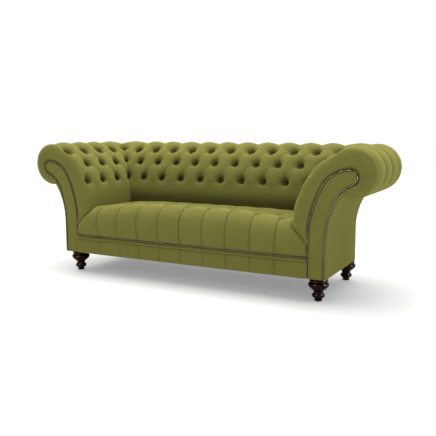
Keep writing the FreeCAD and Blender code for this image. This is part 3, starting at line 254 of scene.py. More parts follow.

# %% [markdown]
# ## Velvet
# Velvet is a short upright pile. It looks matt face-on and lighter where it turns away, because
# the tips of the pile catch the light: that is the sheen. It leans here and there, which shows as
# soft patches. Shade is painted darker into its colour in pits, creases and low bands. Hair could
# make it, but a sofa needs too much of it, so four noise patterns give the patches, and an
# attribute of the mesh says where the painted shade goes.

# %% Velvet material
OLIVE_DEEP = (0.152, 0.148, 0.033, 1)
OLIVE_LIGHT = (0.196, 0.192, 0.048, 1)
# The buttons' velvet is a darker copy of the olive: painted shade, as they sit deep in their pits.
BUTTON_SHADE_DEEP = (0.045, 0.040, 0.012, 1)
BUTTON_SHADE_LIGHT = (0.075, 0.068, 0.020, 1)
# Painted shade: the dark colour that the velvet is mixed towards in pits, creases and bands.
SHADE_PAINT = (0.034, 0.032, 0.008, 1)
SHEEN = (0.8, 0.78, 0.22, 1)
PILE_HEIGHT = 0.0008


def velvet(name, deep=OLIVE_DEEP, light=OLIVE_LIGHT, with_shade=False):
    """Velvet in soft patches; when told to, it gets painted shade where the mesh's attribute says.
    """
    graph = Graph(name)
    lean = graph.noise(5.5, 3.0, 0.55)
    grain = graph.noise(420, 2.0, 0.7)
    nap = graph.noise(60, 4.0, 0.6)
    tufts = graph.noise(170, 2.0, 0.6)
    patches = lean * 0.8 + nap * 0.9 + tufts * 2.2 + grain * 0.8 - 1.85
    colour = graph.between(deep, light, patches)
    if with_shade:
        # Painted shade, mixed in where the mesh's attribute says shade falls.
        held = graph.node("ShaderNodeAttribute", {"attribute_name": "painted_shade"})
        colour = graph.between(colour, SHADE_PAINT, held.outputs["Fac"])
    return graph.principled({
        "Base Color": colour,
        "Roughness": 0.85 + (lean - 0.5) * 0.12,
        "Normal": graph.bump(grain * 0.6 + nap * 0.4, PILE_HEIGHT, 0.8),
        "Sheen Weight": 0.35,
        "Sheen Roughness": 0.45,
        "Sheen Tint": SHEEN,
        "Specular IOR Level": 0.02})


velvet_cloth = velvet("olive_velvet")
shaded_cloth = velvet("olive_velvet_painted_shade", with_shade=True)
# Painted shade: a darker velvet for the buttons, which sit in shade.
shaded_button_cloth = velvet("olive_velvet_buttons_shaded", BUTTON_SHADE_DEEP, BUTTON_SHADE_LIGHT)
print("velvet", [velvet_cloth.name, shaded_cloth.name, shaded_button_cloth.name])

# %% [markdown]
# ## A sheet that follows a rule
# Upholstery is cut flat and pulled over its padding. It could be sculpted, or simulated as cloth,
# but every button and pleat is sewn at a known place. So a flat grid is laid where a rule puts
# its points: `a` runs from 0 to 1 along the piece and `b` from 0 to 1 across it. The rule takes
# all the points at once, which keeps even the seat's ninety thousand quick.

# %% Grid helper
CHECKED_EVERY = 37


def laid_sheet(name, grid, rule, thick, inside):
    """A grid laid by a rule, turned to face away from a point inside it and thickened inwards."""
    shape = bmesh.new()
    bmesh.ops.create_grid(shape, x_segments=grid[0], y_segments=grid[1], size=1)
    mesh = finished_mesh(name, shape)
    flat = np.empty(len(mesh.vertices) * 3)
    mesh.vertices.foreach_get("co", flat)
    flat = flat.reshape(-1, 3)
    laid, painted_shade = rule((flat[:, 0] + 1) / 2, (flat[:, 1] + 1) / 2)
    mesh.vertices.foreach_set("co", np.ascontiguousarray(laid, dtype=np.float32).ravel())
    # Painted shade: a share per point that the velvet uses to darken its colour.
    if painted_shade is not None:
        held = mesh.attributes.new("painted_shade", "FLOAT", "POINT")
        held.data.foreach_set("value", np.ascontiguousarray(painted_shade, dtype=np.float32))
    mesh.update()
    checked = list(mesh.polygons)[::CHECKED_EVERY]
    if sum(face.normal.dot(face.center - Vector(inside)) for face in checked) < 0:
        mesh.flip_normals()
    mesh.materials.append(velvet_cloth if painted_shade is None else shaded_cloth)
    piece = in_scene(name, mesh)
    wall = piece.modifiers.new("thickness", "SOLIDIFY")
    wall.thickness = thick
    wall.offset = -1
    return piece


def smooth_step(x):
    """From 0 to 1 with soft ends."""
    x = np.clip(x, 0, 1)
    return x * x * (3 - 2 * x)


def ramp(x, start, over):
    """0 up to a start and 1 once over a distance past it, with soft ends."""
    return smooth_step((x - start) / over)


def bell(x, wide):
    """1 at 0, falling away softly over a width to both sides."""
    return np.exp(-(x / wide) ** 2)


def read(places, lengths, table):
    """Both columns of a table, read at places along it."""
    return [np.interp(places, lengths, table[:, k]) for k in (0, 1)]


print("a soft step after a quarter:", round(float(smooth_step(0.25)), 2))

# %% [markdown]
# ## The wall's section
# Arms and back share one section: a slope tucked under the padding, a belly that leans outwards
# as it rises, and a full roll. It could be drawn by hand, but built from arcs it fits the timber
# inside it. `out` is the distance outwards from the base's side. The sharp turn at the belly's
# foot is rounded, and the curve is then read by its length.

# %% Curves
CURVE_STEP = 0.002


def even_curve(points):
    """Points an even step apart along a curve, with their directions and places."""
    lengths = np.concatenate([[0], np.cumsum(np.hypot(*np.diff(points, axis=0).T))])
    places = np.linspace(0, lengths[-1], int(lengths[-1] / CURVE_STEP) + 1)
    even = np.stack(read(places, lengths, points), axis=1)
    tangent = np.gradient(even, axis=0)
    tangent /= np.hypot(*tangent.T)[:, None]
    return even, tangent, places


def turned_left(tangent):
    """The directions square to a curve's own."""
    return np.stack([-tangent[:, 1], tangent[:, 0]], axis=1)


def rounded(points, span):
    """Soften a curve's corners over a span of points, with its ends held."""
    first, last = [np.repeat(end, span, 0) for end in (points[:1], points[-1:])]
    padded = np.concatenate([first, points, last])
    kernel = np.hanning(2 * span + 1)
    kernel /= kernel.sum()
    soft = np.stack([np.convolve(padded[:, k], kernel, "valid") for k in (0, 1)], axis=1)
    from_end = np.minimum(np.arange(len(points)), np.arange(len(points))[::-1])
    share = smooth_step(from_end / span)[:, None]
    return points * (1 - share) + soft * share


# %% Section of the padding
HALF_WIDTH = 0.882
BASE_DEPTH = 0.652
BACK = FRONT + BASE_DEPTH
CORNER = 0.076
ROLL_OUT = 0.114
ROLL_LEVEL = 0.699
ROLL = 0.127
ROLL_END = math.radians(254)
BELLY = 0.400
WALL = 0.197
SLOPE_FOOT = (-0.104, 0.312)
FOOT_ROUNDING = 14
reach = WALL + ROLL_OUT
rise = ROLL_LEVEL - BELLY
belly_radius = (reach ** 2 + rise ** 2 - ROLL ** 2) / (2 * (reach - ROLL))
belly_middle = belly_radius - WALL
shoulder_lean = math.atan2(rise, ROLL_OUT - belly_middle)


def arc(middle, radius, angles):
    """Points on a circle at the given angles."""
    return np.array(middle) + radius * np.stack([np.cos(angles), np.sin(angles)], axis=1)


slope = np.linspace(SLOPE_FOOT, (-WALL, BELLY), 40)
belly = arc((belly_middle, BELLY), belly_radius, np.linspace(math.pi, shoulder_lean, 160))
roll = arc((ROLL_OUT, ROLL_LEVEL), ROLL, np.linspace(shoulder_lean, ROLL_END - math.tau, 260))
section, _, _ = even_curve(np.concatenate([slope, belly[1:], roll[1:]]))
section, section_tangent, section_length = even_curve(rounded(section, FOOT_ROUNDING))
section_normal = turned_left(section_tangent)
print("section length", round(section_length[-1], 3), "points", len(section))

# %% [markdown]
# ## Deep buttoning
# Each button pulls a funnel into the padding, and the cloth between four buttons swells into a
# pillow. Pleats run from each button up to the two buttons above it, leaving it upwards and
# arriving from the side, so every pillow has a round top and a narrow foot. A simulation's pleats
# would wander, and these are tucked at set places. In the rule, `u` counts buttons along a row
# and `v` counts rows, with whole numbers at the buttons.

# %% Rows and pleats
ROWS = (0.592, 0.697, 0.779)
SLOPE_POINTS = 60
TINY = 1e-4
rising = slice(SLOPE_POINTS, int(np.argmax(section[:, 1])))
row_places = np.interp(ROWS, section[rising, 1], section_length[rising])
row_step = float(np.diff(row_places).mean())
print("rows lie at", [round(float(p), 3) for p in row_places], "step", round(row_step, 3))


def row_number(along):
    """Rows counted along the section: 0 at the lowest buttons and 2 at the highest."""
    before = row_places[0] - row_step
    knots = np.concatenate([[before], row_places, [row_places[2] + row_step * 4]])
    return np.interp(along, knots, [-1, 0, 1, 2, 6]) + np.minimum(along - before, 0) / row_step


def pleat_at(w, curve):
    """How far a pleat has moved sideways, as a share of the pitch, at a height between two rows."""
    w = np.clip(w, 0, 1)
    arched = 0.5 * (1 - np.sqrt(1 - w ** 2))
    return curve * arched + (1 - curve) * 0.5 * w


def dome(across, power):
    """From 1 in the middle down to 0 at the sides."""
    return np.sqrt(np.clip(1 - np.abs(across) ** power, 0, 1))


def from_button(u, row=0):
    """Pitches from a row's nearest button: every other row is half a pitch on."""
    return (u - 0.5 * (row % 2) + 0.5) % 1 - 0.5


def from_middle(u):
    """0 midway between two buttons of a row and 1 in line with one of them."""
    return np.abs(u % 1 - 0.5) * 2


# %% [markdown]
# A look is the set of numbers that tells one piece's buttoning from another's. Heights of the
# cloth: `swell` of a pillow, `groove` of a pleat, `pit` under a button, `draw` of the pleats near
# it, and `flutes` from the last row on. Reaches: `funnel` of the draw in rows, and `rims`,
# `above` and `side` of a pit below, above and beside its button. `dishes` and `dish_wide` are the
# wide hollow round it, `curve` and `round` the arch of the pleats and pillows.

# %% Quilting rule
WALL_LOOK = {"swell": 0.011, "groove": 0.006, "pit": 0.031, "draw": 0.012, "round": 2.4, "rows": 3,
             "curve": 0.85, "funnel": 0.36, "channels": False, "rims": [0.015, 0.019, 0.030],
             "above": 0.028, "side": 0.023, "dishes": [0.010, 0.011, 0.015], "dish_wide": 0.042,
             "flutes": [-0.006, -0.006, 0.001, 0.006]}
TIP_REACH = 0.75
CHANNEL_SWELL = 1.1
CHANNEL_ROUND = 2.6
CHANNEL_BLEND = 0.16
BAND_SWELL = ((-2, -1, 0), (0.2, 0.35, 0.75))
NIP_DEPTH = 0.002
NIP_WIDTH = 0.004
NIP_FADE = 0.12
FLUTE_START = 1.6
FLUTE_END = 2.0
DISH_HEIGHT = 0.9
PIT_ROUND = 2.4


def pillows(u, v, look):
    """Height between the rows: each pillow narrows to a foot at its lowest button."""
    swell = look["swell"]
    strip = np.clip(np.floor(v), 0, look["rows"] - 2)
    w = np.clip(v - strip, 0, 1)
    away = np.abs(from_button(u, strip))
    edge = np.maximum(pleat_at(w, look["curve"]), TINY)
    base = look["groove"] - look["draw"] * bell(w, look["funnel"])
    tip = base + (swell - base) * smooth_step(w / TIP_REACH)
    foot = away < edge
    across = np.where(foot, away / edge, (0.5 - away) / np.maximum(0.5 - edge, TINY))
    return base + (np.where(foot, tip, swell) - base) * dome(across, look["round"])


def below_rows(height, u, v, pitch, step, look):
    """Height below the first row: sewn channels on a seat, a nipped band on a wall."""
    swell, groove = look["swell"], look["groove"]
    beside = from_middle(u)
    if look["channels"]:
        plain = groove + (swell * CHANNEL_SWELL - groove) * dome(beside, CHANNEL_ROUND)
        near = bell(v, CHANNEL_BLEND)
        nip = 0
    else:
        plain = swell * np.interp(v, *BAND_SWELL)
        near = bell(v * step, look["rims"][0])
        nip = NIP_DEPTH * bell((1 - beside) * pitch / 2, NIP_WIDTH) * np.exp(v / NIP_FADE)
    return np.where(v < 0, plain * (1 - near) + height * near - nip, height)


def past_rows(height, u, v, look):
    """Height past the last row, where the pillows run out into flutes."""
    last = look["rows"] - 1
    beside = from_middle(u - 0.5 * (last % 2))
    flute = np.interp(v, [last, last + 1, last + 3, last + 4], look["flutes"])
    base = flute - look["draw"] * bell(v - last, look["funnel"])
    mixed = smooth_step(v - last - 1)
    bow = (1 - beside ** FLUTE_START) * (1 - mixed) + dome(beside, FLUTE_END) * mixed
    return np.where(v > last, base + (look["swell"] - base) * bow, height)


def quilt(u, v, pitch, step, look):
    """Height of the cloth over its plain shape: pillows, with a dish and a pit at each button."""
    height = below_rows(pillows(u, v, look), u, v, pitch, step, look)
    height = past_rows(height, u, v, look)
    wide = look["dish_wide"]
    for row in range(look["rows"]):
        du = from_button(u, row) * pitch
        dv = (v - row) * step
        fall = np.where(dv > 0, look["above"], look["rims"][row])
        near = np.exp(-np.sqrt((du / look["side"]) ** 2 + (dv / fall) ** 2) ** PIT_ROUND)
        dish = bell(du, wide) * bell(dv, wide * DISH_HEIGHT)
        height = (height - look["dishes"][row] * dish) * (1 - near) - look["pit"] * near
    return height


def shade_from_depth(height, look):
    """Painted shade from the cloth's depth: 0 on a pillow and 1 at a button."""
    return smooth_step((look["groove"] - height) / (look["groove"] + look["pit"]))


print("pillows", WALL_LOOK["swell"], "high, pits", WALL_LOOK["pit"], "deep")

# %% [markdown]
# ## The scroll's outline
# The front end of each arm is closed by a facing, a board shaped like the arm's own scroll. A few
# arcs keep its edge smoother than a free curve would. Their points are shares of the roll's
# distance outwards and of its height above the base.

# %% Facing outline
BASE = 0.132
FACING_FOOT = -0.101
FACING_ARCS = {"inner": [(-0.886, 0.319), (-0.711, 0.624), (-0.114, 0.919)],
               "brow": [(-0.114, 0.919), (0.360, 0.993), (0.956, 1.026)],
               "eye": [(0.956, 1.026), (1.360, 0.950), (1.184, 0.901)],
               "throat": [(1.184, 0.901), (0.570, 0.818), (0.167, 0.663)],
               "outer": [(0.167, 0.663), (-0.022, 0.496), (-0.097, 0.300)]}


def arc_through(a, b, c, count):
    """Points on the circle through three points, from the first to the last."""
    a, b, c = (np.array(p, dtype=float) for p in (a, b, c))
    m = np.array([b - a, c - b]) * 2
    middle = np.linalg.solve(m, np.array([b @ b - a @ a, c @ c - b @ b]))
    angles = [math.atan2(*(p - middle)[::-1]) for p in (a, b, c)]
    for k in (1, 2):
        while abs(angles[k] - angles[k - 1]) > math.pi:
            angles[k] += math.tau * (1 if angles[k] < angles[k - 1] else -1)
    return arc(middle, np.hypot(*(a - middle)), np.linspace(angles[0], angles[2], count))


def facing_point(out, up):
    """A point of the facing from its two shares."""
    return out * ROLL_OUT, BASE + up * (ROLL_LEVEL - BASE)


first_point = FACING_ARCS["inner"][0]
last_point = FACING_ARCS["outer"][-1]
runs = [np.linspace((FACING_FOOT, BASE), facing_point(*first_point), 20)]
for three in FACING_ARCS.values():
    runs.append(arc_through(*[facing_point(*shares) for shares in three], 40)[1:])
runs.append(np.linspace(facing_point(*last_point), facing_point(last_point[0], 0), 20)[1:])
facing_line, _, facing_length = even_curve(np.concatenate(runs))
print("facing outline", round(facing_length[-1], 3), "m long")

# %% Where the padding goes in
EDGE_ROUNDING = 24
THROAT_POINTS = 70


def nearest_on_facing(points):
    """For each point of the section, the point of the facing's edge that the cloth goes in to."""
    gaps = np.hypot(points[:, None, 0] - facing_line[None, :, 0],
                    points[:, None, 1] - facing_line[None, :, 1])
    picks = np.maximum.accumulate(np.argmin(gaps, axis=1)).astype(float)
    picks = rounded(np.stack([picks, picks], axis=1), EDGE_ROUNDING)[:, 0]
    throat = len(facing_line) - 1 - np.argmax(facing_line[::-1, 1] > section[-1, 1])
    late = smooth_step((np.arange(len(picks)) - len(picks) + THROAT_POINTS) / THROAT_POINTS)
    picks = picks + (throat - picks[-1]) * late
    return np.stack(read(picks, np.arange(len(facing_line)), facing_line), axis=1)


front_target = nearest_on_facing(section)
print("the roll goes in to the facing at", [round(float(v), 3) for v in front_target[-1]])

# %% [markdown]
# ## Padding of the arms
# The section is carried along each arm to the back. Inside the corner the two runs meet in a
# seam; outside it the roll goes round in an arc. A loft through a few sections could do this, but
# a rule lets the count of buttons run on round the corner. The front end turns in over the scroll
# board to the facing's edge, with small creases where the cloth is gathered round the roll.

# %% Runs round the corner
def run_length(straight, out):
    """Length of a run, from its start to the corner's seam, at a distance outwards."""
    past = out + CORNER
    return straight + np.where(past > 0, past * math.pi / 4, past)


def round_corner(run, straight, out):
    """Place along and across a run: straight at first, then round the corner."""
    past = np.maximum(out + CORNER, 1e-6)
    angle = np.maximum(run - straight, 0) / past
    bent = (run > straight) & (out > -CORNER)
    along = np.where(bent, straight + past * np.sin(angle), run)
    across = np.where(bent, past * np.cos(angle) - CORNER, out)
    return along, across


def seam_number(v, base):
    """The corner's seam follows one run of pleats, counted in buttons."""
    curve = WALL_LOOK["curve"]
    return base + pleat_at(v, curve) + pleat_at(v - 1, curve)


def buttons_along(run, limit, first, pitch, seam):
    """Buttons counted along a run: at their pitch, then evenly up to the corner's seam."""
    last = first + (seam - 1) * pitch
    evenly = seam - 1 + (run - last) / np.maximum(limit - last, TINY)
    return np.where(run < last, (run - first) / pitch, evenly)


def on_section(b, table):
    """A table of the section read at a share of its length."""
    return read(b * section_length[-1], section_length, table)


def front_and_run(a, part):
    """Shares of an arm's sheet: of its front part, from its end, and of its run to the corner."""
    return np.clip(1 - a / part, 0, 1), np.clip((a - part) / (1 - part), 0, 1)


def both_ways(a):
    """Shares of a sheet over the back: which side of its middle, and how far from it."""
    return np.sign(a - 0.5), np.abs(a - 0.5) * 2


def hemmed(b):
    """0 at both hems of the padding and 1 away from them."""
    return ramp(np.minimum(b, 1 - b), 0, 0.03)


print("an arm's roll", round(float(run_length(BASE_DEPTH - CORNER, ROLL_OUT)), 3), "m long")

# %% Arm padding
ARM_GRID = (150, 210)
SIDES = ((1, "right"), (-1, "left"))
PAD_THICK = 0.012
IN_WALL = 0.06
ARM_FIRST = 0.059
ARM_RUN = BASE_DEPTH - CORNER
ARM_PITCH = 0.153
ARM_PITCH_TOP = 0.157
ARM_SEAM = 3
WRAP = 0.045
WRAP_SHARE = 0.16
WRAP_REACH = 0.080
WRAP_ROUND = 0.8
BULGE = 0.007
CALM = (-0.012, 0.05)
CALM_SWELL = 0.35
SUNK_SHARE = 0.6
CREASES = 43
CREASE_WIDE = 0.32
CREASE_HEIGHT = 0.001
CREASE_SHADE = 0.25
# Painted shade along the nails at the front edge, and in the creases.
NAIL_SHADE_SPAN = (0.92, 0.06)
NAIL_SHADE_DARK = 0.85


def front_creases(b, front_part):
    """1 along the gathers at the roll's front, which fade out away from the facing."""
    waves = bell(np.sin(b * math.pi * CREASES + 2.0 * np.sin(b * 17)), CREASE_WIDE)
    return waves * ramp(front_part, 0.62, 0.3) * ramp(b, 0.4, 0.1)


def arm_rule(side, a, b):
    """An arm's padding: the buttoned run to the corner, and the front that wraps in."""
    out, level = on_section(b, section)
    normal_out, normal_level = on_section(b, section_normal)
    v = row_number(b * section_length[-1])
    front_part, share = front_and_run(a, WRAP_SHARE)
    wraps = front_part > 0
    swing = front_part * math.pi / 2
    inwards = 1 - np.cos(swing) ** WRAP_ROUND
    forwards = np.sin(swing) ** WRAP_ROUND
    limit = run_length(ARM_RUN, out)
    run = np.where(wraps, WRAP * (1 - forwards) - WRAP_REACH * inwards,
                   WRAP + share * (limit - WRAP))
    pitch = np.interp(v, [1, 2], [ARM_PITCH, ARM_PITCH_TOP])
    u = buttons_along(run, limit, ARM_FIRST, pitch, seam_number(v, ARM_SEAM))
    height = quilt(u, v, ARM_PITCH, row_step, WALL_LOOK)
    calm = ramp(run, *CALM)
    height = height * calm + WALL_LOOK["swell"] * CALM_SWELL * (1 - calm) * (1 - front_part)
    height = height * hemmed(b)
    out_now = out + normal_out * height
    run = WRAP + share * (run_length(ARM_RUN, out_now) - WRAP)
    along, across = round_corner(run, ARM_RUN, out_now)
    target_out, target_level = on_section(b, front_target)
    lift = height * np.cos(swing)
    x = np.where(wraps, out + normal_out * lift + (target_out - out) * inwards, across)
    z = np.where(wraps, level + normal_level * lift + (target_level - level) * inwards,
                 level + normal_level * height)
    crown = np.sin(front_part * math.pi) * BULGE
    crease = front_creases(b, front_part)
    sunk = np.minimum(height, 0) * np.sin(swing) * SUNK_SHARE
    y = WRAP * (1 - forwards) - crown + 0.002 * front_part + CREASE_HEIGHT * crease - sunk
    y = np.where(wraps, y, along)
    # Painted shade: darker along the facing's nails, in the creases and in the pits.
    nail_shade = np.maximum(ramp(front_part, *NAIL_SHADE_SPAN) * NAIL_SHADE_DARK, crease * CREASE_SHADE)
    painted_shade = shade_from_depth(height, WALL_LOOK) * (1 - nail_shade) * (front_part < 0.8) + nail_shade
    laid = np.stack([side * (HALF_WIDTH + x), FRONT + y, z], axis=1)
    return laid, np.clip(painted_shade, 0, 1)


pads = {}
for side, hand in SIDES:
    pads[hand + "_arm"] = laid_sheet(hand + "_arm_padding", ARM_GRID, partial(arm_rule, side),
                                     PAD_THICK, (side * (HALF_WIDTH + IN_WALL), -0.1, 0.66))
print("arm padding from", WRAP, "m behind the front")

# %% [markdown]
# ## Padding of the back
# The back is the same section with a slightly closer pitch, mirrored about the middle of the
# sofa. It could be two halves joined by a mirror, but one sheet has no seam down its middle. Shade
# is painted into its colour: a little below its top row, and more on the band under its lowest
# buttons.

# %% Back padding
BACK_GRID = (340, 210)
BACK_RUN = HALF_WIDTH - CORNER
BACK_SEAM = 5
PITCH = 0.149
# Painted shade: on the band under the lowest buttons, and a little below the top row.
BAND = (0.5, 0.7)
BAND_SHADE = 0.63
ROWS_SHADE = 0.15


def back_rule(a, b):
    """The back's padding, counted both ways from its middle button."""
    side, share = both_ways(a)
    out, level = on_section(b, section)
    normal_out, normal_level = on_section(b, section_normal)
    v = row_number(b * section_length[-1])
    limit = run_length(BACK_RUN, out)
    u = buttons_along(share * limit, limit, 0, PITCH, seam_number(v, BACK_SEAM))
    height = quilt(u, v, PITCH, row_step, WALL_LOOK) * hemmed(b)
    out_now = out + normal_out * height
    along, across = round_corner(share * run_length(BACK_RUN, out_now), BACK_RUN, out_now)
    # Painted shade in the pits, on the low band and below the top row.
    painted_shade = shade_from_depth(height, WALL_LOOK) + ramp(-v, *BAND) * BAND_SHADE
    painted_shade = painted_shade + smooth_step(2 - v) * ROWS_SHADE
    laid = np.stack([side * along, BACK + across, level + normal_level * height], axis=1)
    return laid, np.clip(painted_shade, 0, 1)


pads["back"] = laid_sheet("back_padding", BACK_GRID, back_rule, PAD_THICK,
                          (0, BACK + IN_WALL, 0.66))
for place, pad in pads.items():
    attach(pad, "root")
    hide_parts(place + "_inside_cover")
    print(pad.name, len(pad.data.vertices), "points")

# %% [markdown]
# ## Seat
# The seat is fixed: its cover runs from the border over a soft nose to the back. A simulated
# cushion would lose the seams that make this front, so the seat is laid by a rule as well, on a
# profile of three arcs: the nose, the brow over it and the long crown.

# %% Seat profile
SEAT_BOTTOM = 0.252
SEAT_RISE = 0.214
NOSE = 0.025
PROFILE_ROUNDING = 10
NOSE_POINTS = 80
SEAT_ROW_DEPTHS = (0.080, 0.204, 0.328)


def profile_arc(three, count):
    """An arc through three points, each a depth from the front and a share of the seat's rise."""
    return arc_through(*[(depth, SEAT_BOTTOM + share * SEAT_RISE) for depth, share in three], count)


nose = profile_arc(((-0.345 * NOSE, 0), (-NOSE, 0.458), (-0.31 * NOSE, 0.743)), 60)
brow = profile_arc(((-0.31 * NOSE, 0.743), (0.62 * NOSE, 0.869), (2.276 * NOSE, 0.99)), 40)
crown = profile_arc(((2.276 * NOSE, 0.99), (0.2, 0.964), (0.548, 0.795)), 120)
seat_line, _, _ = even_curve(np.concatenate([nose, brow[1:], crown[1:]]))
seat_line, seat_tangent, seat_length = even_curve(rounded(seat_line, PROFILE_ROUNDING))
seat_normal = turned_left(seat_tangent)
seat_rows = [float(np.interp(depth, seat_line[NOSE_POINTS:, 0], seat_length[NOSE_POINTS:]))
             for depth in SEAT_ROW_DEPTHS]
seat_step = (seat_rows[2] - seat_rows[0]) / 2
print("seat rows at", [round(p, 3) for p in seat_rows], "of", round(seat_length[-1], 3))

# %% [markdown]
# Seams divide the front into channels, and each seam ends at a button of the first row. Behind it
# the top is buttoned in shallow diamonds. The seat is highest in the middle and rolls down at both
# ends, under the arms' padding, and each table gives a height or a share at places along it.

# %% Seat cloth
SEAT_HALF = 0.7755
SEAT_END = 0.010
SEAT_RETURN = 0.024
SEAT_LOOK = {"swell": 0.004, "groove": -0.002, "pit": 0.010, "draw": 0.006, "round": 2.4, "rows": 3,
             "curve": 0.35, "funnel": 0.3, "channels": True, "rims": [0.012, 0.012, 0.012],
             "above": 0.014, "side": 0.012, "dishes": [0.008, 0.005, 0.003], "dish_wide": 0.032,
             "flutes": [-0.002, 0.0, 0.002, 0.002]}
SEAM_FAN = 0.016
SEAM_WIDE = 0.0035
SEAM_DEPTH = 0.003
SEAM_LAST = 4.3
PAST_BUTTONS = (4.15, 0.35)


def seam_line(x, wide):
    """1 along the sewn seams between the channels, 0 away from them."""
    u = x / PITCH
    return bell(from_button(u) * PITCH, wide) * (np.abs(u) < SEAM_LAST)


def rounded_ends(a):
    """Places along the seat, and how far its rounded ends turn back there."""
    laid = (a * 2 - 1) * (SEAT_HALF + SEAT_RETURN)
    far = np.abs(laid)
    bend = np.clip((far - SEAT_HALF + SEAT_END) / SEAT_END, 0, 1) * math.pi / 2
    x = np.sign(laid) * (np.minimum(far, SEAT_HALF - SEAT_END) + SEAT_END * np.sin(bend))
    return x, SEAT_END * (1 - np.cos(bend)) + np.maximum(far - SEAT_HALF, 0)


def seat_cloth(x, places, v):
    """Height of the seat's cloth over its plain shape, and its seams."""
    fan = 1 + SEAM_FAN * np.sin(np.clip(places / seat_rows[0], 0, 1) * math.pi)
    u = x / PITCH / fan
    beyond = ramp(np.abs(u), *PAST_BUTTONS)
    height = quilt(u, v, PITCH, seat_step, SEAT_LOOK)
    height = height * (1 - beyond) + SEAT_LOOK["swell"] * 0.5 * beyond
    seam = seam_line(x / fan, SEAM_WIDE) * np.where(v < 0, 1, np.exp(-v * 9)) * (1 - beyond)
    return height - SEAM_DEPTH * seam, seam


print("seams up to", round(SEAM_LAST * PITCH, 3), "m from the middle")

# %% Seat padding
SEAT_GRID = (600, 150)
SEAT_THICK = 0.008
SEAT_CROWN = ((0, 0.15, 0.3, 0.45, 0.6, 0.66, 0.776), (1, 0.998, 0.988, 0.944, 0.872, 0.845, 0.80))
FLATTER = ((0.2, 0.3, 0.447, 0.596, 0.7), (0.4, 0.2, 0.25, 0.66, 1))
FLATTER_BEHIND = (0.22, 0.09)
UNDER_ARM = ((0.60, 0.681, 0.685, SEAT_HALF), (0.75, 0.412, 0.4015, 0.317))
HELD_BACK = ((0.66, SEAT_HALF), (1, 0.4))
LEAST_SHARP = 65
ARM_CLEAR = 0.014
BESIDE_ARM = (0.69, 0.07)
NEAR_ARM = (-0.05, 0.05)
# Painted shade in the seat's pits, along its front seams and over its top.
PIT_SHADE = 0.8
SEAM_SHADE = 0.38
TOP_SHADE = 0.32


def soft_least(one, other):
    """The lower of two heights, with the step between them rounded."""
    low = np.minimum(one, other)
    return low - np.log1p(np.exp(-np.abs(one - other) * LEAST_SHARP)) / LEAST_SHARP


def seat_top(x, y, z, under_arm):
    """Level of the seat: crowned along its length, less so at the back, and low under the arms."""
    crowned = np.interp(np.abs(x), *SEAT_CROWN)
    flatter = np.interp(np.abs(x), *FLATTER)
    crowned = 1 - (1 - crowned) * (1 - (1 - flatter) * ramp(y, *FLATTER_BEHIND))
    return soft_least(SEAT_BOTTOM + (z - SEAT_BOTTOM) * crowned, under_arm)


def seat_rule(a, b):
    """The seat's padding, from the border over the nose to the back."""
    x, back_in = rounded_ends(a)
    places = b * seat_length[-1]
    y, z = read(places, seat_length, seat_line)
    normal_y, normal_z = read(places, seat_length, seat_normal)
    last = seat_length[-1]
    v = np.interp(places, [0] + seat_rows + [last],
                  [-seat_rows[0] / seat_step, 0, 1, 2, 2 + (last - seat_rows[2]) / seat_step])
    height, seam = seat_cloth(x, places, v)
    lift = height * ramp(b, 0, 0.04)
    under_arm = np.interp(np.abs(x), *UNDER_ARM)
    z_now = seat_top(x, y, z, under_arm) + normal_z * lift
    held_back = np.where(y < 0, np.interp(np.abs(x), *HELD_BACK), 1)
    near_arm = ramp(np.abs(x), *BESIDE_ARM) * ramp(z_now - under_arm, *NEAR_ARM)
    y_now = y * held_back + back_in + near_arm * ARM_CLEAR + normal_y * lift
    # Painted shade: in the pits, along the front seams, and over the top behind the first row.
    painted_shade = shade_from_depth(height, SEAT_LOOK) * PIT_SHADE + seam * SEAM_SHADE * (v < 0.1)
    painted_shade = painted_shade + ramp(v, 0, 0.6) * TOP_SHADE
    return np.stack([x, FRONT + y_now, z_now], axis=1), np.clip(painted_shade, 0, 1)


seat_pad = laid_sheet("seat_padding", SEAT_GRID, seat_rule, SEAT_THICK, (0, -0.1, 0.3))
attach(seat_pad, "root")
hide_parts("seat_cover")
print("seat_padding", len(seat_pad.data.vertices), "points")

# %% [markdown]
# ## Outside covers
# Outside, velvet over a thin lining is stretched from the base to the roll. It sweeps outwards
# under the roll, and its front edge turns in to the facing's outer row of nails. A flat plane
# would look like card, so the rule adds a slight unevenness.

# %% Outside line
FLARE_START = 0.34
FLARE_TUCK = 0.002
roll_tip = (ROLL_OUT + ROLL * math.cos(ROLL_END), ROLL_LEVEL + ROLL * math.sin(ROLL_END))
flare_rise = roll_tip[1] - FLARE_START
flare_radius = (roll_tip[0] ** 2 + flare_rise ** 2) / (2 * roll_tip[0])
flare_levels = np.linspace(FLARE_START, roll_tip[1] + FLARE_TUCK, 90)
flare_out = flare_radius - np.sqrt(flare_radius ** 2 - (flare_levels - FLARE_START) ** 2)
upright = np.linspace((0, BASE), (0, FLARE_START), 60)
flare = np.stack([flare_out, flare_levels], axis=1)
outside, _, outside_length = even_curve(np.concatenate([upright, flare[1:]]))
print("outside line", round(outside_length[-1], 3), "m long")

# %% Outside covers
COVER_THICK = 0.0025
FOLD_IN = 0.05
LIP = 0.006
ARM_DRIFT = 0.0012
BACK_DRIFT = 0.0015
outer_edge = facing_line[::-1][:len(facing_line) // 2]


def panel_point(b):
    """A point of the outside line at a share of its length."""
    return read(b, np.linspace(0, 1, len(outside)), outside)


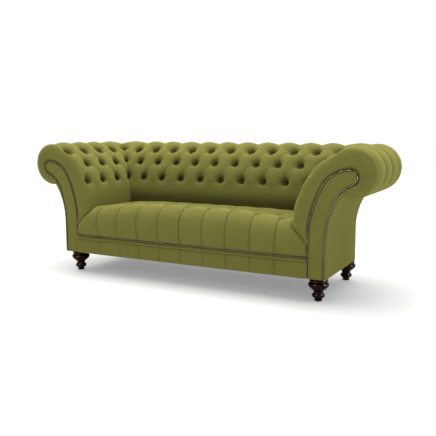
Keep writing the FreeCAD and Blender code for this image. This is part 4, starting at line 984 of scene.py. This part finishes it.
def outside_arm_rule(side, a, b):
    """An arm's outside cover, with its front edge folded in to the facing."""
    out, level = panel_point(b)
    fold, share = front_and_run(a, FOLD_IN)
    along, across = round_corner(LIP + share * (run_length(ARM_RUN, out) - LIP), ARM_RUN, out)
    target = np.interp(level, outer_edge[:, 1], outer_edge[:, 0])
    swing = fold * math.pi / 2
    x = np.where(fold > 0, out + (target - out) * (1 - np.cos(swing)), across)
    y = np.where(fold > 0, LIP * (1 - np.sin(swing)) - 0.001, along)
    drift = ARM_DRIFT * np.sin(share * 9 + b * 4) * np.sin(b * math.pi) * (fold == 0)
    return np.stack([side * (HALF_WIDTH + x + drift), FRONT + y, level], axis=1), None


def outside_back_rule(a, b):
    """The back's outside cover, from corner seam to corner seam."""
    side, share = both_ways(a)
    out, level = panel_point(b)
    along, across = round_corner(share * run_length(BACK_RUN, out), BACK_RUN, out)
    drift = BACK_DRIFT * np.sin(a * 23 + b * 3) * np.sin(b * math.pi)
    return np.stack([side * along, BACK + across + drift, level], axis=1), None


for place, grid, rule, inside, rail, width, area in (
        ("right_arm", (70, 40), partial(outside_arm_rule, 1), 0.7,
         "right_base_side_rail", 0.72, 0.306),
        ("left_arm", (70, 40), partial(outside_arm_rule, -1), -0.7,
         "left_base_side_rail", 0.72, 0.306),
        ("back", (120, 40), outside_back_rule, 0,
         "base_back_rail", 1.95, 0.815)):
    panel = laid_sheet(place + "_outside", grid, rule, COVER_THICK, (inside, -0.1, 0.3))
    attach(panel, "root")
    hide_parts(place + "_outside_cover")
    print(panel.name, len(panel.data.vertices), "points")

# %% [markdown]
# ## Facings
# A facing is a flat board with thin padding under its velvet, so its edge is softly rounded and
# its face barely crowned. An extruded outline would have a hard edge, so it is a strip that curls
# at its top: one side of the grid follows the inner edge, the other the outer edge, and both meet
# at the scroll's eye. Shade is painted darker along its edge, where the nails lie.

# %% Facings
FACING_BACK = 0.0055
FACING_PADDING = 0.0045
FACING_EDGE = 0.012
FACING_CROWN = 0.02
# Painted shade along the facing's edge, where the nails lie.
FACING_NAIL_SHADE = (-0.0070, 0.003)
eye = int(np.argmax(facing_line[:, 0]))
facing_sides = [even_curve(facing_line[:eye + 1])[0], even_curve(facing_line[eye:][::-1])[0]]


def to_edge(out, level):
    """How far points of the facing lie from its curved edge."""
    edge = facing_line[::3]
    return np.hypot(out[:, None] - edge[:, 0], level[:, None] - edge[:, 1]).min(axis=1)


def facing_rule(side, a, b):
    """A facing, from its inner to its outer edge."""
    rise = 1 - (1 - b) ** 1.3
    ends = [read(rise, np.linspace(0, 1, len(edge)), edge) for edge in facing_sides]
    share = 0.5 - 0.5 * np.cos(a * math.pi)
    out = ends[0][0] * (1 - share) + ends[1][0] * share
    level = ends[0][1] * (1 - share) + ends[1][1] * share
    deep = to_edge(out, level)
    swell = np.sqrt(1 - (1 - np.clip(deep / FACING_EDGE, 0, 1)) ** 2)
    y = FRONT + FACING_BACK - (FACING_PADDING * swell + FACING_CROWN * deep)
    # Painted shade along the edge, where the nails lie.
    painted_shade = ramp(-deep, *FACING_NAIL_SHADE) * 0.95
    return np.stack([side * (HALF_WIDTH + out), y, level], axis=1), painted_shade


for side, hand in SIDES:
    piece = laid_sheet(hand + "_facing_panel", (30, 150), partial(facing_rule, side), 0.003,
                       (side * HALF_WIDTH, 0, 0.4))
    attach(piece, "root")
    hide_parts(hand + "_arm_facing")
    print(piece.name, len(piece.data.polygons), "faces")

# %% [markdown]
# ## Border
# The border is a strip of lightly padded velvet across the front of the base, with a seam under
# each seam of the seat. The seams could be in its material only, but they would catch no light,
# so each field between two seams swells a little.

# %% Border
BORDER_OUT = 0.005
PUFF = 0.0022
GROOVE_DEPTH = 0.0016
GROOVE_WIDE = 0.0022
FIELDS_END = 4.5
# Painted shade under the nails at the top, and just under the piping.
BORDER_NAIL_SHADE = (0.2375, 0.003)
PIPING_SHADE = (0.2195, 0.0024, 0.75)


def border_rule(a, b):
    """The border: puffed fields, seams, and painted shade along the seams, under the nails and just
    under the piping.
    """
    x = (a * 2 - 1) * SEAT_HALF
    z = BASE + b * (SEAT_BOTTOM - BASE)
    inside_seams = np.abs(x / PITCH) < FIELDS_END
    near = np.abs(from_button(x / PITCH)) * 2
    puff = np.where(inside_seams, np.clip(1 - (1 - near) ** 2, 0, 1) ** 0.5, 1) * PUFF
    groove = bell(near * PITCH / 2, GROOVE_WIDE) * inside_seams * GROOVE_DEPTH
    edge = np.clip(1 - (2 * b - 1) ** 8, 0, 1)
    y = -BORDER_OUT - (puff - groove) * edge
    level, wide, dark = PIPING_SHADE
    # Painted shade along the seams, under the nails and just under the piping.
    painted_shade = seam_line(x, 0.003) * 0.5 + ramp(z, *BORDER_NAIL_SHADE) * 0.9
    painted_shade = painted_shade + bell(z - level, wide) * dark
    return np.stack([x, FRONT + y, z], axis=1), np.clip(painted_shade, 0, 1)


border = laid_sheet("border_strip", (620, 60), border_rule, 0.004, (0, 0, 0.2))
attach(border, "root")
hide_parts("front_border")
print("border", len(border.data.vertices), "points")

# %% [markdown]
# ## Piping
# Piping is a strip of velvet sewn round a filler, and it runs along the border just below the
# nails. A curve with a round bevel could make it. Here a disc is drawn out into a rod, which is
# cut across and given a slight waver, as sewn piping has.

# %% Piping
PIPING_RADIUS = 0.0058
PIPING_OUT = 0.009
PIPING_LEVEL = 0.228
PIPING_CUTS = 260
PIPING_WAVERS = ((0.0005, 31), (0.0003, 83))
rod = bmesh.new()
bmesh.ops.create_circle(rod, segments=14, radius=PIPING_RADIUS, cap_ends=True)
upended = Matrix.Rotation(math.pi / 2, 3, "Y")
bmesh.ops.rotate(rod, verts=rod.verts, cent=(0, 0, 0), matrix=upended)
bmesh.ops.translate(rod, verts=rod.verts, vec=(-SEAT_HALF, FRONT - PIPING_OUT, PIPING_LEVEL))
grown = bmesh.ops.extrude_face_region(rod, geom=list(rod.faces))
far_end = [item for item in grown["geom"] if isinstance(item, bmesh.types.BMVert)]
bmesh.ops.translate(rod, verts=far_end, vec=(2 * SEAT_HALF, 0, 0))
long_edges = [edge for edge in rod.edges if edge.calc_length() > SEAT_HALF]
bmesh.ops.subdivide_edges(rod, edges=long_edges, cuts=PIPING_CUTS, use_grid_fill=True)
for vert in rod.verts:
    vert.co.z += sum(size * math.sin(vert.co.x * turns) for size, turns in PIPING_WAVERS)
bmesh.ops.recalc_face_normals(rod, faces=rod.faces)
piping = in_scene("piping", finished_mesh("piping", rod))
piping.data.materials.append(velvet_cloth)
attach(piping, "root")
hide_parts("border_welt")
print("piping", len(piping.data.vertices), "points")

# %% [markdown]
# ## Turned feet
# Each foot is turned on a lathe from dark, glossy wood. Stacked cylinders could stand for it, but
# a lathe cuts one flowing outline, so half of that outline is spun once round: each pair is a
# radius and a height. The wood is nearly black with a little red, and its grain runs upwards.

# %% Feet
FOOT = [(0, 0), (0.019, 0), (0.021, 0.002), (0.0205, 0.013), (0.0225, 0.0165), (0.028, 0.019),
        (0.033, 0.0235), (0.0352, 0.030), (0.0345, 0.036), (0.031, 0.0405), (0.0275, 0.0425),
        (0.0255, 0.045), (0.0258, 0.0505), (0.028, 0.056), (0.0315, 0.061), (0.0365, 0.0648),
        (0.0405, 0.0665), (0.0412, 0.069), (0.0455, 0.0725), (0.0515, 0.078), (0.0555, 0.0845),
        (0.0574, 0.0915), (0.0566, 0.0965), (0.0535, 0.1005), (0.0475, 0.1035), (0.0455, 0.1045),
        (0.0460, 0.1065), (0.0495, 0.1085), (0.0512, 0.1125), (0.0505, 0.117), (0.0475, 0.1215),
        (0.045, 0.1245), (0.0440, BASE), (0, BASE)]
FOOT_X = 0.823
FOOT_PLACES = {"front_right": (FOOT_X, -0.357), "front_left": (-FOOT_X, -0.357),
               "rear_right": (FOOT_X, 0.176), "rear_left": (-FOOT_X, 0.176)}
WOOD_DEEP = (0.003, 0.0006, 0.0003, 1)
WOOD_LIGHT = (0.011, 0.0025, 0.0012, 1)
WOOD_GLOSS = (1.0, 0.55, 0.45, 1)


def turned_foot(name, x, y):
    """The foot's outline spun once round, at its place under the base."""
    lathe = bmesh.new()
    verts = [lathe.verts.new((radius, 0, level)) for radius, level in FOOT]
    edges = [lathe.edges.new(pair) for pair in zip(verts, verts[1:])]
    bmesh.ops.spin(lathe, geom=verts + edges, cent=(0, 0, 0), axis=(0, 0, 1), angle=math.tau,
                   steps=64, use_merge=True)
    bmesh.ops.remove_doubles(lathe, verts=lathe.verts, dist=1e-5)
    bmesh.ops.recalc_face_normals(lathe, faces=lathe.faces)
    bmesh.ops.translate(lathe, verts=lathe.verts, vec=(x, y, 0))
    return in_scene(name, finished_mesh(name, lathe))


wood = Graph("dark_gloss_wood")
upwards = wood.node("ShaderNodeMapping", {}, {
    "Vector": wood.node("ShaderNodeTexCoord").outputs["Object"], "Scale": (60, 60, 9)})
grain = wood.noise(1.0, 4.0, 0.6, upwards.outputs[0])
foot_wood = wood.principled({
    "Base Color": wood.between(WOOD_DEEP, WOOD_LIGHT, grain),
    "Roughness": 0.05 + grain * 0.04,
    "Specular IOR Level": 0.2,
    "Specular Tint": WOOD_GLOSS,
    "Normal": wood.bump(grain, 0.0004, 0.3)})
for place, (x, y) in FOOT_PLACES.items():
    foot = turned_foot(place + "_turned_foot", x, y)
    foot.data.materials.append(foot_wood)
    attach(foot, "root")
    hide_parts(place + "_foot")
print("four feet, each", len(foot.data.polygons), "faces")

# %% [markdown]
# ## Nails
# The nails are domed heads of dark antique brass, set edge to edge, and stay as the imported solids.
# A highlight is painted into the colour of each dome, where it faces the front, and the rest keeps
# the dark colour. A mask from the surface's direction puts it on every nail.

# %% Nail metal
TARNISH = (0.016, 0.011, 0.006, 1)
# Painted highlight: bright brass in a tight spot at the top of each dome.
HIGHLIGHT_BRASS = (0.52, 0.40, 0.27, 1)
HIGHLIGHT_SPOT = 20.0
nail = Graph("antique_nails")
normal = nail.node("ShaderNodeNewGeometry").outputs["Normal"]
facing = nail.node("ShaderNodeVectorMath", {"operation": "DOT_PRODUCT"}, {0: normal, 1: (0, -1, 0)})
# Painted highlight where the dome faces the front.
painted_highlight = Value(nail, facing.outputs["Value"]) ** HIGHLIGHT_SPOT
tarnish = nail.noise(260, 4.0, 0.6)
nail_metal = nail.principled({
    "Base Color": nail.between(TARNISH, HIGHLIGHT_BRASS, painted_highlight * (0.6 + tarnish * 0.8)),
    "Roughness": 0.20 + tarnish * 0.1,
    "Metallic": 0.9,
    "Normal": nail.bump(tarnish, 0.0003, 0.5)})
print("nails", nail_metal.name)

# %% [markdown]
# ## Finishes of the pieces that stay as they are
# The buttons are velvet, in a darker copy that is painted shade, as they sit deep in their pits.
# The timber, foam, jute, steel and lining inside get plain finishes.
# Each could have a graph of its own, but they differ only in colours, scale and gloss, so one
# function makes them all.

# %% Finishes for the solids
def plain_material(name, dark, light, scale, roughness, metallic=0.0, bump=0.0003):
    """A cloudy mix of two colours with a fine bump."""
    graph = Graph(name)
    pattern = graph.noise(scale, 4.0, 0.6)
    return graph.principled({
        "Base Color": graph.between(dark, light, pattern),
        "Roughness": roughness - 0.1 + pattern * 0.2,
        "Metallic": metallic,
        "Normal": graph.bump(pattern, bump, 0.5)})


finishes = {"olive_velvet": shaded_button_cloth, "dark_turned_wood": foot_wood,
            "antique_nails": nail_metal}
for slot, name, dark, light, *numbers in (
        ("frame_timber", "sawn_timber", (0.42, 0.28, 0.15, 1), (0.62, 0.45, 0.27, 1), 45, 0.75),
        ("foam", "foam", (0.72, 0.66, 0.46, 1), (0.85, 0.8, 0.62, 1), 500, 0.95, 0.0, 0.0008),
        ("jute", "jute", (0.30, 0.2, 0.1, 1), (0.5, 0.37, 0.21, 1), 380, 0.9, 0.0, 0.001),
        ("black_lining", "black_lining", (0.012, 0.012, 0.012, 1), (0.03, 0.03, 0.03, 1), 700, 0.9),
        ("steel", "plain_steel", (0.32, 0.32, 0.33, 1), (0.5, 0.5, 0.52, 1), 120, 0.35, 1.0)):
    finishes[slot] = plain_material(name, dark, light, *numbers)
slots = {part["node"]: part["material_slot"] for part in frame["record"]["subparts"]}
for node, thing in frame["nodes"].items():
    finish = finishes[slots[node]]
    if not thing.material_slots:
        thing.data.materials.append(finish)
    for held in thing.material_slots:
        held.material = finish
print("finished", len(slots), "solids")
